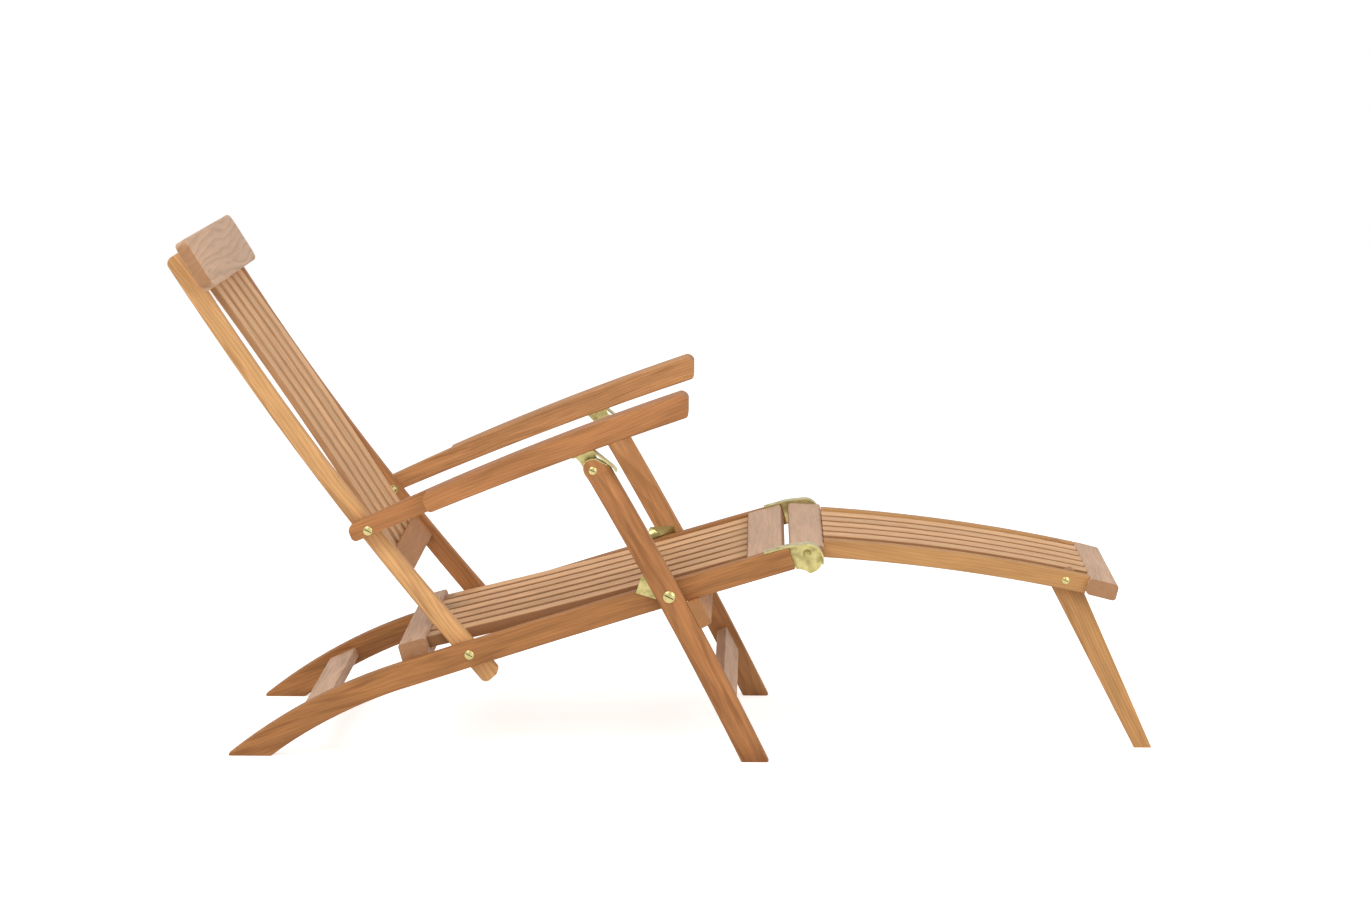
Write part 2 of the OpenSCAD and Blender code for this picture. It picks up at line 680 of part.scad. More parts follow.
// Hinge bracket: flange on the rail's top edge, hood round the hinge, cheek on the rail's inner face.
// The cheek ends below in a point, with a hollow lower edge between the point and the rail.
hood_mid = rest_pivot + [hood_ahead, -hood_below];
hood_to = -15;
tail = rest_pivot + [tail_forward, -tail_fall];
cheek_above = 3;
hollow_mid = rest_pivot - [hollow_back, hollow_fall];
module hinge_bracket() {
    t = plate_thick;
    a = rail_top(hinge_flange_start, t / 2 + fit_gap);
    b = rail_top(rail_len, t / 2 + fit_gap);
    hood_from = heading_to(b, hood_mid) + asin(hood_r / norm(hood_mid - b)) + 90;
    c = hood_mid + hood_r * along(hood_from);
    difference() {
        union() {
            across(cheek_in, rail_out) {
                belt(a, t / 2, b, t / 2);
                belt(b, t / 2, c, t / 2);
                intersection() {
                    translate(hood_mid) difference() {
                        circle(hood_r + t / 2, $fn = 96);
                        circle(hood_r - t / 2, $fn = 96);
                    }
                    polygon([hood_mid, hood_mid + 2 * hood_r * along(hood_from),
                             hood_mid + 2 * hood_r * along((hood_from + hood_to) / 2),
                             hood_mid + 2 * hood_r * along(hood_to)]);
                }
            }
            across(cheek_in, rail_in) difference() {
                union() {
                    translate(hood_mid) circle(hood_r, $fn = 96);
                    polygon([rail_top(hinge_flange_end, fit_gap + t / 2), b, c, hood_mid, tail,
                             rail_spot(rail_len, cheek_above - rail_half(rail_len)),
                             rail_spot(hinge_flange_end, cheek_above - rail_half(rail_len))]);
                }
                translate(hollow_mid) circle(hollow_r, $fn = 96);
            }
        }
        rod(rest_pivot, cheek_in - 1, rail_in + 1, pin_r);
        for (s = hinge_screws_at) hinge_screw(s, screw_r);
    }
}

module bracket_screws() {
    color(brass) both_sides() for (s = hinge_screws_at) {
        p = rail_top(s, plate_thick + 1.5 * fit_gap);
        hinge_screw(s, screw_r);
        translate([p.x, (rail_in + rail_out) / 2, p.y]) rotate([0, -rail_heading(s), 0])
            slotted_head(screw_head_r, screw_head_h);
    }
}

// Pins of the leg rest, fixed in the hinge brackets
hinge_pin_deep = 25;
module hinge_pins() {
    color(brass) both_sides() bolt(rest_pivot, hinge_board_end - hinge_pin_deep, rail_in, pin_r, pin_head_r);
}

module back_pivot_bolts() {
    color(brass) both_sides()
        bolt(back_pivot, stile_in - rest_gap - nut_depth, rail_out, bolt_r, bolt_head_r);
}
module back_pivot_nuts() {
    color(brass) both_sides() dome_nut(back_pivot, stile_in - rest_gap, bolt_r);
}
module leg_pivot_bolts() {
    color(brass) both_sides()
        bolt(leg_pivot, rail_in - nut_depth, leg_out + rest_gap, bolt_r, leg_bolt_head_r);
}
module leg_pivot_nuts() {
    color(brass) both_sides() dome_nut(leg_pivot, rail_in, bolt_r);
}

// Backrest stile: bowed board with round ends, slimmer in its middle
stile_low_r = 12;
stile_front_r = 6;
module back_stile() {
    y0 = stile_in - 1;
    y1 = stile_out + 1;
    low = stile_heading(-stile_down);
    top = stile_heading(stile_up);
    reach = 1.5 * (stile_behind + stile_before_low);
    difference() {
        intersection() {
            edge_board(stile_spot(-stile_down, -stile_behind), stile_spot(stile_up, -stile_behind),
                       stile_hollow - front_turn, -1, reach, stile_in, stile_out, stile_top_r);
            edge_board(front_low, front_top, -front_turn, 1, reach, stile_in, stile_out, stile_top_r);
            past(stile_spot(-stile_down, 0), low);
            past(stile_spot(stile_up, 0), top + 180);
        }
        corner_cut(stile_spot(stile_up, -stile_behind), top - 180, top - 90, stile_top_r, y0, y1);
        corner_cut(front_top, top + 90, top + 180, stile_front_r, y0, y1);
        corner_cut(stile_spot(-stile_down, -stile_behind), low - 90, low, stile_low_r, y0, y1);
        corner_cut(front_low, low, low + 90, stile_low_r, y0, y1);
        rod(back_pivot, y0, y1, bolt_r + pivot_play);
        rod(arm_pivot, y0, y1, bolt_r);
    }
}

// The flat headboard bridges the hollow front edges of the stiles
headboard_gap = headboard_h * headboard_h / 8 * front_turn * PI / 180 / front_run + fit_gap;
module headboard() {
    mid = stile_up + headboard_over - headboard_h / 2;
    color(teak) centred() across(-headboard_w / 2, headboard_w / 2)
        translate(front_spot(mid, headboard_thick / 2 + headboard_gap)) rotate(front_heading(mid))
            soft_rect(headboard_h, headboard_thick, 4);
}

lower_rail_mid = lower_rail_at + lower_rail_h / 2;
lower_rail_forward = -lower_rail_inset - lower_rail_thick / 2;
module back_lower_rail() {
    color(teak) centred() across(-stile_in, stile_in)
        translate(front_spot(lower_rail_mid, lower_rail_forward)) rotate(front_heading(lower_rail_mid))
            soft_rect(lower_rail_h, lower_rail_thick, ease);
}

// Back slats: from the top edge of the lower rail up to the back of the headboard
back_slat_below_top = 4;
back_slat_ahead = 1;
module back_slats() {
    a_up = lower_rail_at + lower_rail_h;
    b_up = stile_up - back_slat_below_top;
    a = front_spot(a_up, lower_rail_forward + back_slat_ahead);
    b = front_spot(b_up, -back_slat_thick / 2);
    half = (back_slat_count - 1) / 2;
    color(teak_light) centred() for (i = [-half:half]) {
        y = i * back_slat_pitch;
        difference() {
            arc_board(a, b, -front_turn * (b_up - a_up) / stile_len, back_slat_thick,
                      y - back_slat_w / 2, y + back_slat_w / 2, 4);
            past(a, front_heading(lower_rail_mid) + 180);
            past(b, front_heading(b_up));
        }
    }
}

module back_pivot_washers() {
    color(brass) both_sides()
        washer(back_pivot, stile_out, rail_in - rest_gap, 2.2 * bolt_r, bolt_r + pivot_play);
}
module arm_pivot_bolts() {
    color(brass) both_sides()
        bolt(arm_pivot, stile_in - nut_depth, tongue_out + rest_gap, bolt_r, bolt_head_r);
}
module arm_pivot_nuts() {
    color(brass) both_sides() dome_nut(arm_pivot, stile_in, bolt_r);
}
module arm_pivot_washers() {
    color(brass) both_sides()
        washer(arm_pivot, stile_out + rest_gap, arm_in, 2.2 * bolt_r, bolt_r + pivot_play);
}

// Point where an arc of the arm meets its upright front end
arm_front_x = leg_top.x + arm_overhang;
function arm_front_point(a, b, turn) =
    let (x = (arm_front_x - arm_pivot.x + arc_height(a, b, turn, arm_len) * sin(arm_rise)) / cos(arm_rise))
    arm_spot([x, arc_height(a, b, turn, x)]);

// Arm: wide board over the leg, with a narrow tongue beside the stile
arm_over = 15;
module arm() {
    low_a = arm_spot(arm_low_rear);
    low_b = arm_spot(arm_low_front);
    high_a = arm_spot(arm_high_rear);
    high_b = arm_spot(arm_high_front);
    difference() {
        intersection() {
            edge_board(low_a, low_b, -arm_low_turn, 1, 2 * arm_front_depth, arm_in, arm_out, arm_over);
            edge_board(high_a, high_b, -arm_top_turn, -1, 2 * arm_front_depth, arm_in, arm_out, arm_over);
        }
        past([arm_front_x, 0], 0);
        past(arm_spot([-arm_tail, 0]), arm_rise + 180);
        across(tongue_out, arm_out + 1) {
            translate(arm_spot([arm_shoulder_at, 0])) rotate(arm_rise + 180)
                translate([0, -wide / 2]) square([wide, wide]);
            corner_outline(arm_spot([arm_shoulder_at, arm_low(arm_shoulder_at)]),
                           arm_low_heading(arm_shoulder_at), arm_rise + 90, arm_low_r);
            corner_outline(arm_spot([arm_shoulder_at, arm_high(arm_shoulder_at)]),
                           arm_rise - 90, arm_high_heading(arm_shoulder_at), arm_high_r);
        }
        corner_cut(low_a, arm_low_heading(-arm_tail), arm_rise + 90, arm_low_r, arm_in - 1, arm_out + 1);
        corner_cut(high_a, arm_rise - 90, arm_high_heading(-arm_tail), arm_high_r, arm_in - 1, arm_out + 1);
        corner_cut(arm_front_point(arm_low_rear, arm_low_front, arm_low_turn), 90,
                   180 + arm_low_heading(arm_len), arm_low_r, arm_in - 1, arm_out + 1);
        corner_cut(arm_front_point(arm_high_rear, arm_high_front, arm_top_turn),
                   180 + arm_high_heading(arm_len), 270, arm_high_r, arm_in - 1, arm_out + 1);
        rod(arm_pivot, arm_in - 1, arm_out + 1, bolt_r + pivot_play);
        for (run = arm_screws_at) arm_screw_place(run) cylinder(h = arm_screw_len, r = screw_r);
    }
}

// Bracket under the arm: flange, strap in front of the leg's top, cheek beside the leg.
// Its places are counted along the arm from the leg's top screw, and down from the arm's underside.
flange_rear = 22;
flange_front = 11.5;
strap_run = 33;
strap_fall = 39;
lip_run = 35;
lip_fall = 46;
cheek_r = 14;
cheek_fall = 16;
arm_bracket_in = leg_in - rest_gap - plate_thick;
flange_a = [arm_top_screw - flange_rear, arm_low(arm_top_screw - flange_rear) - fit_gap - plate_thick / 2];
flange_b = [arm_top_screw + flange_front, arm_low(arm_top_screw + flange_front) - fit_gap - plate_thick / 2];
flange_slope = heading_to(flange_a, flange_b);
arm_screws_at = [6, 24];
arm_screw_len = 18;
module arm_screw_place(run) {
    p = arm_spot(flange_a + run * along(flange_slope)
                 - (plate_thick / 2 + fit_gap / 2) * left_of(flange_slope));
    translate([p.x, (leg_in + leg_out) / 2, p.y]) rotate([0, -arm_rise - flange_slope, 0]) children();
}
module arm_bracket() {
    t = plate_thick;
    strap_end = [arm_top_screw + strap_run, arm_low(arm_top_screw) - strap_fall];
    lip_end = [arm_top_screw + lip_run, arm_low(arm_top_screw) - lip_fall];
    cheek_top = [arm_top_screw - 2, arm_low(arm_top_screw) - cheek_fall];
    side = [cheek_r - 0.1, 0];
    difference() {
        union() {
            across(arm_bracket_in, leg_out) translate(arm_pivot) rotate(arm_rise) {
                belt(flange_a, t / 2, flange_b, t / 2);
                belt(flange_b, t / 2, strap_end, t / 2);
                belt(strap_end, t / 2, lip_end, t / 2);
            }
            across(arm_bracket_in, arm_bracket_in + t) translate(arm_pivot) rotate(arm_rise) {
                belt([arm_top_screw, -leg_top_drop], cheek_r, cheek_top, side.x);
                polygon([flange_a, cheek_top - side, cheek_top + side, flange_b]);
            }
        }
        rod(leg_top, arm_bracket_in - 1, arm_bracket_in + t + 1, pin_r);
        for (run = arm_screws_at) arm_screw_place(run) cylinder(h = arm_screw_len, r = screw_r);
    }
}
module arm_bracket_screws() {
    color(brass) both_sides() for (run = arm_screws_at) arm_screw_place(run) {
        cylinder(h = arm_screw_len, r = screw_r);
        rotate([180, 0, 0]) slotted_head(screw_head_r, screw_head_h);
    }
}

// Front leg: bowed board with a round head that reaches back to its top screw
crown_drop = 10.2;
shoulder_drop = 12;
cap_drop = 4;
module front_leg() {
    base = leg_spot(-leg_down, 0);
    crown_up = leg_top_up - crown_drop;
    crown = leg_spot(crown_up, 0);
    shoulder = leg_spot(leg_top_up - shoulder_drop, 0);
    difference() {
        union() {
            arc_board(base, crown, leg_bow * (leg_down + crown_up) / leg_len, leg_depth, leg_in, leg_out);
            difference() {
                across(leg_in + joint_inset, leg_out - joint_inset) leg_head(0);
                past(shoulder, leg_heading(leg_top_up) + 180);
            }
        }
        foot_cut(leg_toe_x, leg_heading(leg_foot_u), -1);
        rod(leg_pivot, leg_in - 1, leg_out + 1, bolt_r + pivot_play);
        rod(leg_top, leg_in - 1, leg_out + 1, pin_r);
    }
}
module leg_head(grow) {
    belt(leg_top, leg_top_r + grow, leg_front_corner, leg_front_round + grow);
}
module leg_top_caps() {
    color(brass) both_sides() difference() {
        across(leg_in, leg_out) difference() {
            leg_head(cap_thick);
            leg_head(0);
        }
        past(leg_spot(leg_top_up - cap_drop, 0), leg_heading(leg_top_up) + 180);
    }
}
module leg_top_screws() {
    color(brass) both_sides() bolt(leg_top, leg_in + rest_gap, leg_out, pin_r, top_screw_head_r);
}

module front_stretcher() {
    color(teak) centred() across(-leg_in, leg_in)
        translate(leg_spot(-front_stretcher_down, 0)) rotate(leg_heading(-front_stretcher_down))
            soft_rect(front_stretcher_w, front_stretcher_thick, ease);
}

// Stop plates: on the legs' inner faces, with a lip that rests on the rail's top edge
stop_behind = 56;
stop_lip_len = 36;
stop_lip_over = 8;
stop_rear_high = [0, 20];
stop_rear_low = [-2, -2];
stop_leg_spots = [[8, 21], [14, -8], [30, -10]];
module leg_stop_plates() {
    t = plate_thick;
    s0 = leg_pivot_at - stop_behind;
    lip_a = rail_top(s0, rest_gap);
    lip_b = rail_top(s0 + stop_lip_len, rest_gap);
    lip_up = t * left_of(rail_heading(s0));
    color(brass) both_sides() {
        across(leg_in - t, leg_in)
            polygon([for (p = [stop_rear_high, stop_rear_low]) rail_top(s0 + p.x, p.y),
                     for (p = stop_leg_spots) leg_spot(p.x, p.y)]);
        across(rail_out - stop_lip_over, leg_in - t)
            polygon([lip_a, lip_b, lip_b + lip_up, lip_a + lip_up]);
    }
}
module leg_pivot_washers() {
    color(brass) both_sides()
        washer(leg_pivot, rail_out + rest_gap, leg_in, 2.4 * bolt_r, bolt_r + pivot_play);
}

module leg_rest_hinge_board() {
    color(teak) centred() difference() {
        across(-hinge_board_end, hinge_board_end) translate(rest_pivot) rotate(-rest_fall / 2)
            soft_rect(hinge_board_w, hinge_board_thick, 5);
        for (side = [0, 1]) mirror([0, side, 0])
            rod(rest_pivot, hinge_board_end - hinge_pin_deep - 1, hinge_board_end + 1, pin_r + pivot_play);
    }
}
module hinge_washers() {
    color(brass) both_sides()
        washer(rest_pivot, hinge_board_end, cheek_in - rest_gap, 2 * pin_r, pin_r + pivot_play);
}
module leg_rest_rail() {
    difference() {
        arc_board(rest_spot(0, 0), rest_spot(rest_run, 0), -rest_turn, rest_rail_depth,
                  rest_rail_in, rest_rail_out, 2);
        past(rest_start, 180 - rest_fall / 2);
        past(rest_spot(rest_run, 0), foot_board_tilt);
        rod(prop_pivot, rest_rail_in - 1, rest_rail_out + 1, pin_r);
    }
}
// The slats stay clear of the nuts inside the prop legs
rest_slats_out = prop_in - nut_flange - (pin_r + nut_wall) - 2 * rest_gap;
module leg_rest_slats() {
    half = (rest_slat_count - 1) / 2;
    pitch = (rest_slats_out - rest_slat_w / 2) / half;
    up = rest_rail_depth / 2 - rest_slat_thick / 2;
    color(teak_light) centred() for (i = [-half:half]) {
        y = i * pitch;
        difference() {
            arc_board(rest_spot(0, up), rest_spot(rest_run, up), -rest_turn, rest_slat_thick,
                      y - rest_slat_w / 2, y + rest_slat_w / 2, 4);
            past(rest_start, 180 - rest_fall / 2);
            past(rest_spot(rest_run, 0), foot_board_tilt);
        }
    }
}
module foot_board() {
    color(teak) centred() across(-foot_board_len / 2, foot_board_len / 2)
        translate(foot_board_mid) rotate(foot_board_tilt) soft_rect(foot_board_w, foot_board_thick, 6);
}
module prop_pivot_bolts() {
    color(brass) both_sides()
        bolt(prop_pivot, prop_in - rest_gap - nut_depth, rest_rail_out, pin_r, pin_head_r);
}
module prop_pivot_nuts() {
    color(brass) both_sides() dome_nut(prop_pivot, prop_in - rest_gap, pin_r);
}

// Prop leg: straight tapered board, its foot cut flat on the floor
function prop_spot(down, forward) =
    prop_pivot + down * along(prop_lean - 90) + forward * left_of(prop_lean - 90);
prop_above = 11;
prop_top_r = 10;
module prop_leg() {
    top = -prop_above;
    end = prop_len + prop_foot_depth;
    half_top = prop_top_depth / 2;
    half_end = half_top + (prop_foot_depth - prop_top_depth) / 2 * (end - top) / (prop_len - top);
    rear = prop_spot(top, -half_top - prop_behind);
    front = prop_spot(top, half_top - prop_behind);
    difference() {
        across(prop_in, prop_out) polygon([
            rear, prop_spot(end, -half_end - prop_behind), prop_spot(end, half_end - prop_behind), front]);
        below_floor();
        corner_cut(rear, prop_lean - 90, prop_lean, prop_top_r, prop_in - 1, prop_out + 1);
        corner_cut(front, prop_lean - 180, prop_lean - 90, prop_top_r, prop_in - 1, prop_out + 1);
        rod(prop_pivot, prop_in - 1, prop_out + 1, pin_r + pivot_play);
    }
}
module prop_stretcher() {
    color(teak) centred() across(-prop_in, prop_in)
        translate(prop_spot(prop_stretcher_down, -prop_behind)) rotate(prop_lean - 90)
            soft_rect(prop_stretcher_w, prop_stretcher_thick, ease);
}
module prop_pivot_washers() {
    color(brass) both_sides()
        washer(prop_pivot, prop_out, rest_rail_in - rest_gap, 2 * pin_r, pin_r + pivot_play);
}

color(teak) on_side(1) seat_rail();  // seat_rail_left
color(teak) on_side(-1) seat_rail();  // seat_rail_right
rear_stretcher();
seat_rear_board();
seat_front_board();
seat_slats();
stop_bar();
color(brass) on_side(1) hinge_bracket();  // hinge_bracket_left
color(brass) on_side(-1) hinge_bracket();  // hinge_bracket_right
bracket_screws();
hinge_pins();
back_pivot_bolts();
back_pivot_nuts();
leg_pivot_bolts();
leg_pivot_nuts();
color(teak) on_side(1) back_stile();  // back_stile_left
color(teak) on_side(-1) back_stile();  // back_stile_right
headboard();
back_lower_rail();
back_slats();
back_pivot_washers();
arm_pivot_bolts();
arm_pivot_nuts();
color(teak_light) on_side(1) arm();  // arm_left
color(teak_light) on_side(-1) arm();  // arm_right
color(brass) on_side(1) arm_bracket();  // arm_bracket_left
color(brass) on_side(-1) arm_bracket();  // arm_bracket_right
arm_bracket_screws();
arm_pivot_washers();
color(teak) on_side(1) front_leg();  // front_leg_left
color(teak) on_side(-1) front_leg();  // front_leg_right
front_stretcher();
leg_stop_plates();
leg_top_caps();
leg_top_screws();
leg_pivot_washers();
leg_rest_hinge_board();
color(teak) on_side(1) leg_rest_rail();  // leg_rest_rail_left
color(teak) on_side(-1) leg_rest_rail();  // leg_rest_rail_right
leg_rest_slats();
foot_board();
prop_pivot_bolts();
hinge_washers();
color(teak) on_side(1) prop_leg();  // prop_leg_left
color(teak) on_side(-1) prop_leg();  // prop_leg_right
prop_stretcher();
prop_pivot_washers();
prop_pivot_nuts();
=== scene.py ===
"""Looks of a folding teak deck chair with brass fittings and a leg rest.

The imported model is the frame. Its boards and fittings get finishes made of nodes. The headboard, the slats
of the seat and the back, the heads of the front legs and the stop plates are shaped here too.
Lengths in the settings are real sizes in metres. Patterns are worked out in millimetres.
"""

from math import atan2, cos, pi, radians, sin

import bpy
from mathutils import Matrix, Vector


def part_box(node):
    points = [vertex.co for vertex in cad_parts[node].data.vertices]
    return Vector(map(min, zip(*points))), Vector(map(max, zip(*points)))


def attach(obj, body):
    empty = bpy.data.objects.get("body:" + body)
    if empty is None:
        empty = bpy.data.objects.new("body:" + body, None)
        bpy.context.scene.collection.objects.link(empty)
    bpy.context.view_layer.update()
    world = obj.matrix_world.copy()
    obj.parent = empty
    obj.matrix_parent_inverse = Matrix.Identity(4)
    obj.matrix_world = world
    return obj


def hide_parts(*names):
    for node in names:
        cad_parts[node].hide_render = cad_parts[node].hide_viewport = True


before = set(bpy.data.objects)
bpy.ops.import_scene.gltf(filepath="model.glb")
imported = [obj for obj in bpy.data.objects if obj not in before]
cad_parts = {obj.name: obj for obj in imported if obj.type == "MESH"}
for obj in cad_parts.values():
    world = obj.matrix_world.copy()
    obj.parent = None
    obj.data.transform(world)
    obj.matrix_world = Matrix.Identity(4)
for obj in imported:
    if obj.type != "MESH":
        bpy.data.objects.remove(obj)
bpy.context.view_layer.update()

bl_info = {
    "name": "Teak deck chair finishes",
    "version": (1, 0, 0),
    "blender": (4, 5, 0),
    "location": "3D View > Sidebar > Deck chair",
    "description": "Teak, brass, floor, light and camera for a folding deck chair",
    "category": "Material",
}

MM = 1000.0
WHITE = (1.0, 1.0, 1.0, 1.0)

# Layout of the nodes in the editor
NODES_DOWN = 4
NODE_WIDTH = 220
NODE_DROP = 320

# Vertices nearer than this are one
MERGE = 0.00001

# Faces that meet at less than this are shaded as one
SMOOTH_UNDER = radians(35)

# Head of a front leg in the frame: heading of the leg there, and radii round its top screw of the screw's
# bore, of the round wood and of the brass cap over it
HEAD_HEADING = radians(120.2)
HEAD_BORE = 0.005
HEAD_RADIUS = 0.018
HEAD_CAP = 0.0196

# Patterns of the teak: their sizes along the grain and across it, in millimetres
WANDER_WIDTH = 110
FIBRE = (70, 1.6, 1.6)
BROAD = (170, 20, 20)
FLAME_WIDTH = 11

# Boards side by side are cut from places in the tree that lie up to this far apart, in millimetres
BOARD_SHIFT = (900.0, 0.0, 46.0)

# Width of one ring of a wave texture whose scale is 1
RING_WAVE = 0.314

# How strongly the teak's lines stand out: paler early wood, darker late wood and the fibres
EARLY_LIFT = 0.13
LATE_SHARE = 0.42
FIBRE_SHARE = 0.38

# Length of the fine polishing lines in the brass, in millimetres, and their lean
POLISH_LENGTH = 18
POLISH_LEAN = (0.0, radians(17), 0.0)


def linear(hex_colour):
    """Linear RGBA of an sRGB hex colour such as "#B98452"."""
    parts = [int(hex_colour[i : i + 2], 16) / 255 for i in (1, 3, 5)]
    return (*[c / 12.92 if c <= 0.04045 else ((c + 0.055) / 1.055) ** 2.4 for c in parts], 1.0)


def between(first, second, share):
    """The colour that lies a share of the way from the first to the second."""
    return tuple(a + share * (b - a) for a, b in zip(first, second))


def colour(name, description, default):
    """A setting that holds a colour."""
    return bpy.props.StringProperty(name=name, description=description, default=default)


def length(name, description, default, low, high):
    """A setting that holds a length in metres."""
    return bpy.props.FloatProperty(
        name=name, description=description, default=default, min=low, max=high,
        subtype="DISTANCE", unit="LENGTH",
    )


def factor(name, description, default, high=1.0):
    """A setting that holds a plain strength."""
    return bpy.props.FloatProperty(
        name=name, description=description, default=default, min=0.0, max=high, subtype="FACTOR",
    )


def power(name, description, default):
    """A setting that holds a lamp's power in watts."""
    return bpy.props.FloatProperty(name=name, description=description, default=default, unit="POWER")


def angle(name, description, default):
    """A setting that holds an angle."""
    return bpy.props.FloatProperty(name=name, description=description, default=default, unit="ROTATION")


def spot(name, description, default):
    """A setting that holds a place in metres."""
    return bpy.props.FloatVectorProperty(
        name=name, description=description, default=default, subtype="TRANSLATION", unit="LENGTH",
    )


class TeakSettings(bpy.types.PropertyGroup):
    """Colours and grain sizes of the teak"""

    honey: colour("Honey", "Seat rails, lower back rail and prop stretcher", "#AE7644")
    # Rosy is the redder wood of the near arm and near front leg; on the far stile it is painted shade,
    # darker than the near stile's gold.
    rosy_and_shade: colour("Rosy", "Near arm, near front leg and far stile, which are redder", "#AE7546")
    sand: colour("Sand", "Headboard, cross boards and stretchers, sanded and pinkish", "#CBA688")
    straw: colour("Straw", "Leg rest rails and prop legs, paler and more golden", "#C5925B")
    tan: colour("Tan", "Far arm, far front leg and stop bar", "#C08A59")
    gold: colour("Gold", "The near stile", "#D8A46C")
    peach: colour("Peach", "Tops of the slats", "#E2B282")
    latewood: colour("Latewood", "Dark lines of the growth rings", "#85552D")
    end_grain: colour("End grain", "Sawn ends, which take more oil", "#9A6A40")
    # The gap colour is painted shade on the sides of slats, which stand in each other's shade.
    gap: colour("Gap", "Sides of the slats, sawn only and darkened by oil", "#8A5C38")
    ring: length("Ring width", "Distance between two growth rings", 0.0052, 0.002, 0.012)
    pore: length("Pore width", "Width of the pore streaks, coarser than real ones", 0.0012, 0.0004, 0.003)
    streak: length("Streak length", "Length of the pore streaks along the board", 0.045, 0.01, 0.1)
    flame: length("Flame length", "Length of the dark oily streaks", 0.13, 0.05, 0.4)
    roughness: factor("Roughness", "Oiled wood, satin", 0.58)


class BoardSettings(bpy.types.PropertyGroup):
    """Shapes of the pieces that are modelled here"""

    headboard_corner: length("Headboard corner", "Radius of the headboard's corners", 0.018, 0.008, 0.03)
    headboard_ease: length("Headboard edge", "Radius of its eased edges", 0.004, 0.002, 0.006)
    headboard_heart: length("Headboard's heart", "How far behind it the tree's middle lay", 0.03, 0.0, 0.1)
    slat_deeper: length("Deeper seat slats", "Wood under their sawn thickness", 0.006, 0.002, 0.008)
    slat_proud: length("Back slats' rise", "How far their middle stands forward", 0.015, 0.0, 0.02)
    head_rear: length("Leg head's rear", "From its top screw to its rear edge", 0.0136, 0.008, 0.018)
    plate_top: length("Stop plate's top", "How far its upper corner moves to the leg", 0.0188, 0.0, 0.03)
    plate_rise: length("Stop plate's rise", "How far that corner moves up", 0.0064, 0.0, 0.01)
    plate_rear: length("Stop plate's rear", "How far its rear corner moves to the leg", 0.006, 0.0, 0.02)
    plate_lift: length("Stop plate's lift", "How far the rear corner moves up", 0.0018, 0.0, 0.01)
    plate_fall: length("Stop plate's fall", "How far the corner at the leg moves down", 0.005, 0.0, 0.01)


class BrassSettings(bpy.types.PropertyGroup):
    """Colours and wear of the brass fittings"""

    bright: colour("Bright", "Cleaned brass", "#C5B87E")
    tarnish: colour("Tarnish", "Greenish brown film in the hollows", "#8E8450")
    # The slot colour is painted shade on the floors of the slots of the domed heads.
    slot: colour("Slot", "Dirt in the slots of the heads", "#3A3320")
    patch: length("Patch size", "Size of the tarnished patches", 0.014, 0.004, 0.05)
    scratch: length("Scratch spacing", "Distance between fine polishing lines", 0.0008, 0.0002, 0.003)
    roughness: factor("Roughness", "Tumbled and handled sheet", 0.3)


class StudioSettings(bpy.types.PropertyGroup):
    """Floor, lamps, sky and camera"""

    floor: colour("Floor", "Plain pale floor", "#F4F3F1")
    floor_size: length("Floor size", "Width of the floor", 14.0, 4.0, 40.0)
    floor_lift: factor("Floor lift", "Glow that only the camera and reflections see", 0.6)
    sky: factor("Sky", "Strength of the even light", 0.62, high=2.0)
    lamp_size: length("Lamp size", "Width of the soft lamps", 2.4, 0.5, 5.0)
    key: power("Key lamp", "Soft lamp over the camera's left", 75.0)
    key_spot: spot("Key lamp's place", "Where the key lamp hangs", (-1.6, -2.6, 3.4))
    key_aim: spot("Key lamp's aim", "What the key lamp points at", (0.0, 0.0, 0.35))
    fill: power("Fill lamp", "Soft lamp at the camera's right", 38.0)
    fill_spot: spot("Fill lamp's place", "Where the fill lamp hangs", (2.6, -2.8, 1.8))
    fill_aim: spot("Fill lamp's aim", "What the fill lamp points at", (0.1, 0.0, 0.35))
    lens: bpy.props.FloatProperty(
        name="Lens", description="Focal length in millimetres", default=99.85, min=20.0, max=300.0,
        unit="CAMERA",
    )
    sensor: bpy.props.FloatProperty(
        name="Sensor", description="Width of the sensor in millimetres", default=36.0, min=10.0, max=60.0,
        unit="CAMERA",
    )
    eye: spot("Camera place", "Where the camera stands", (0.1513, -6.3304, 1.3748))
    reach: length("Camera reach", "How far the camera sees", 100.0, 10.0, 1000.0)
    tilt: angle("Tilt", "Camera's tilt from straight down", radians(81.787))
    pan: angle("Pan", "Camera's turn to the left", radians(1.128))
    roll: angle("Roll", "Camera's roll", radians(-0.073))


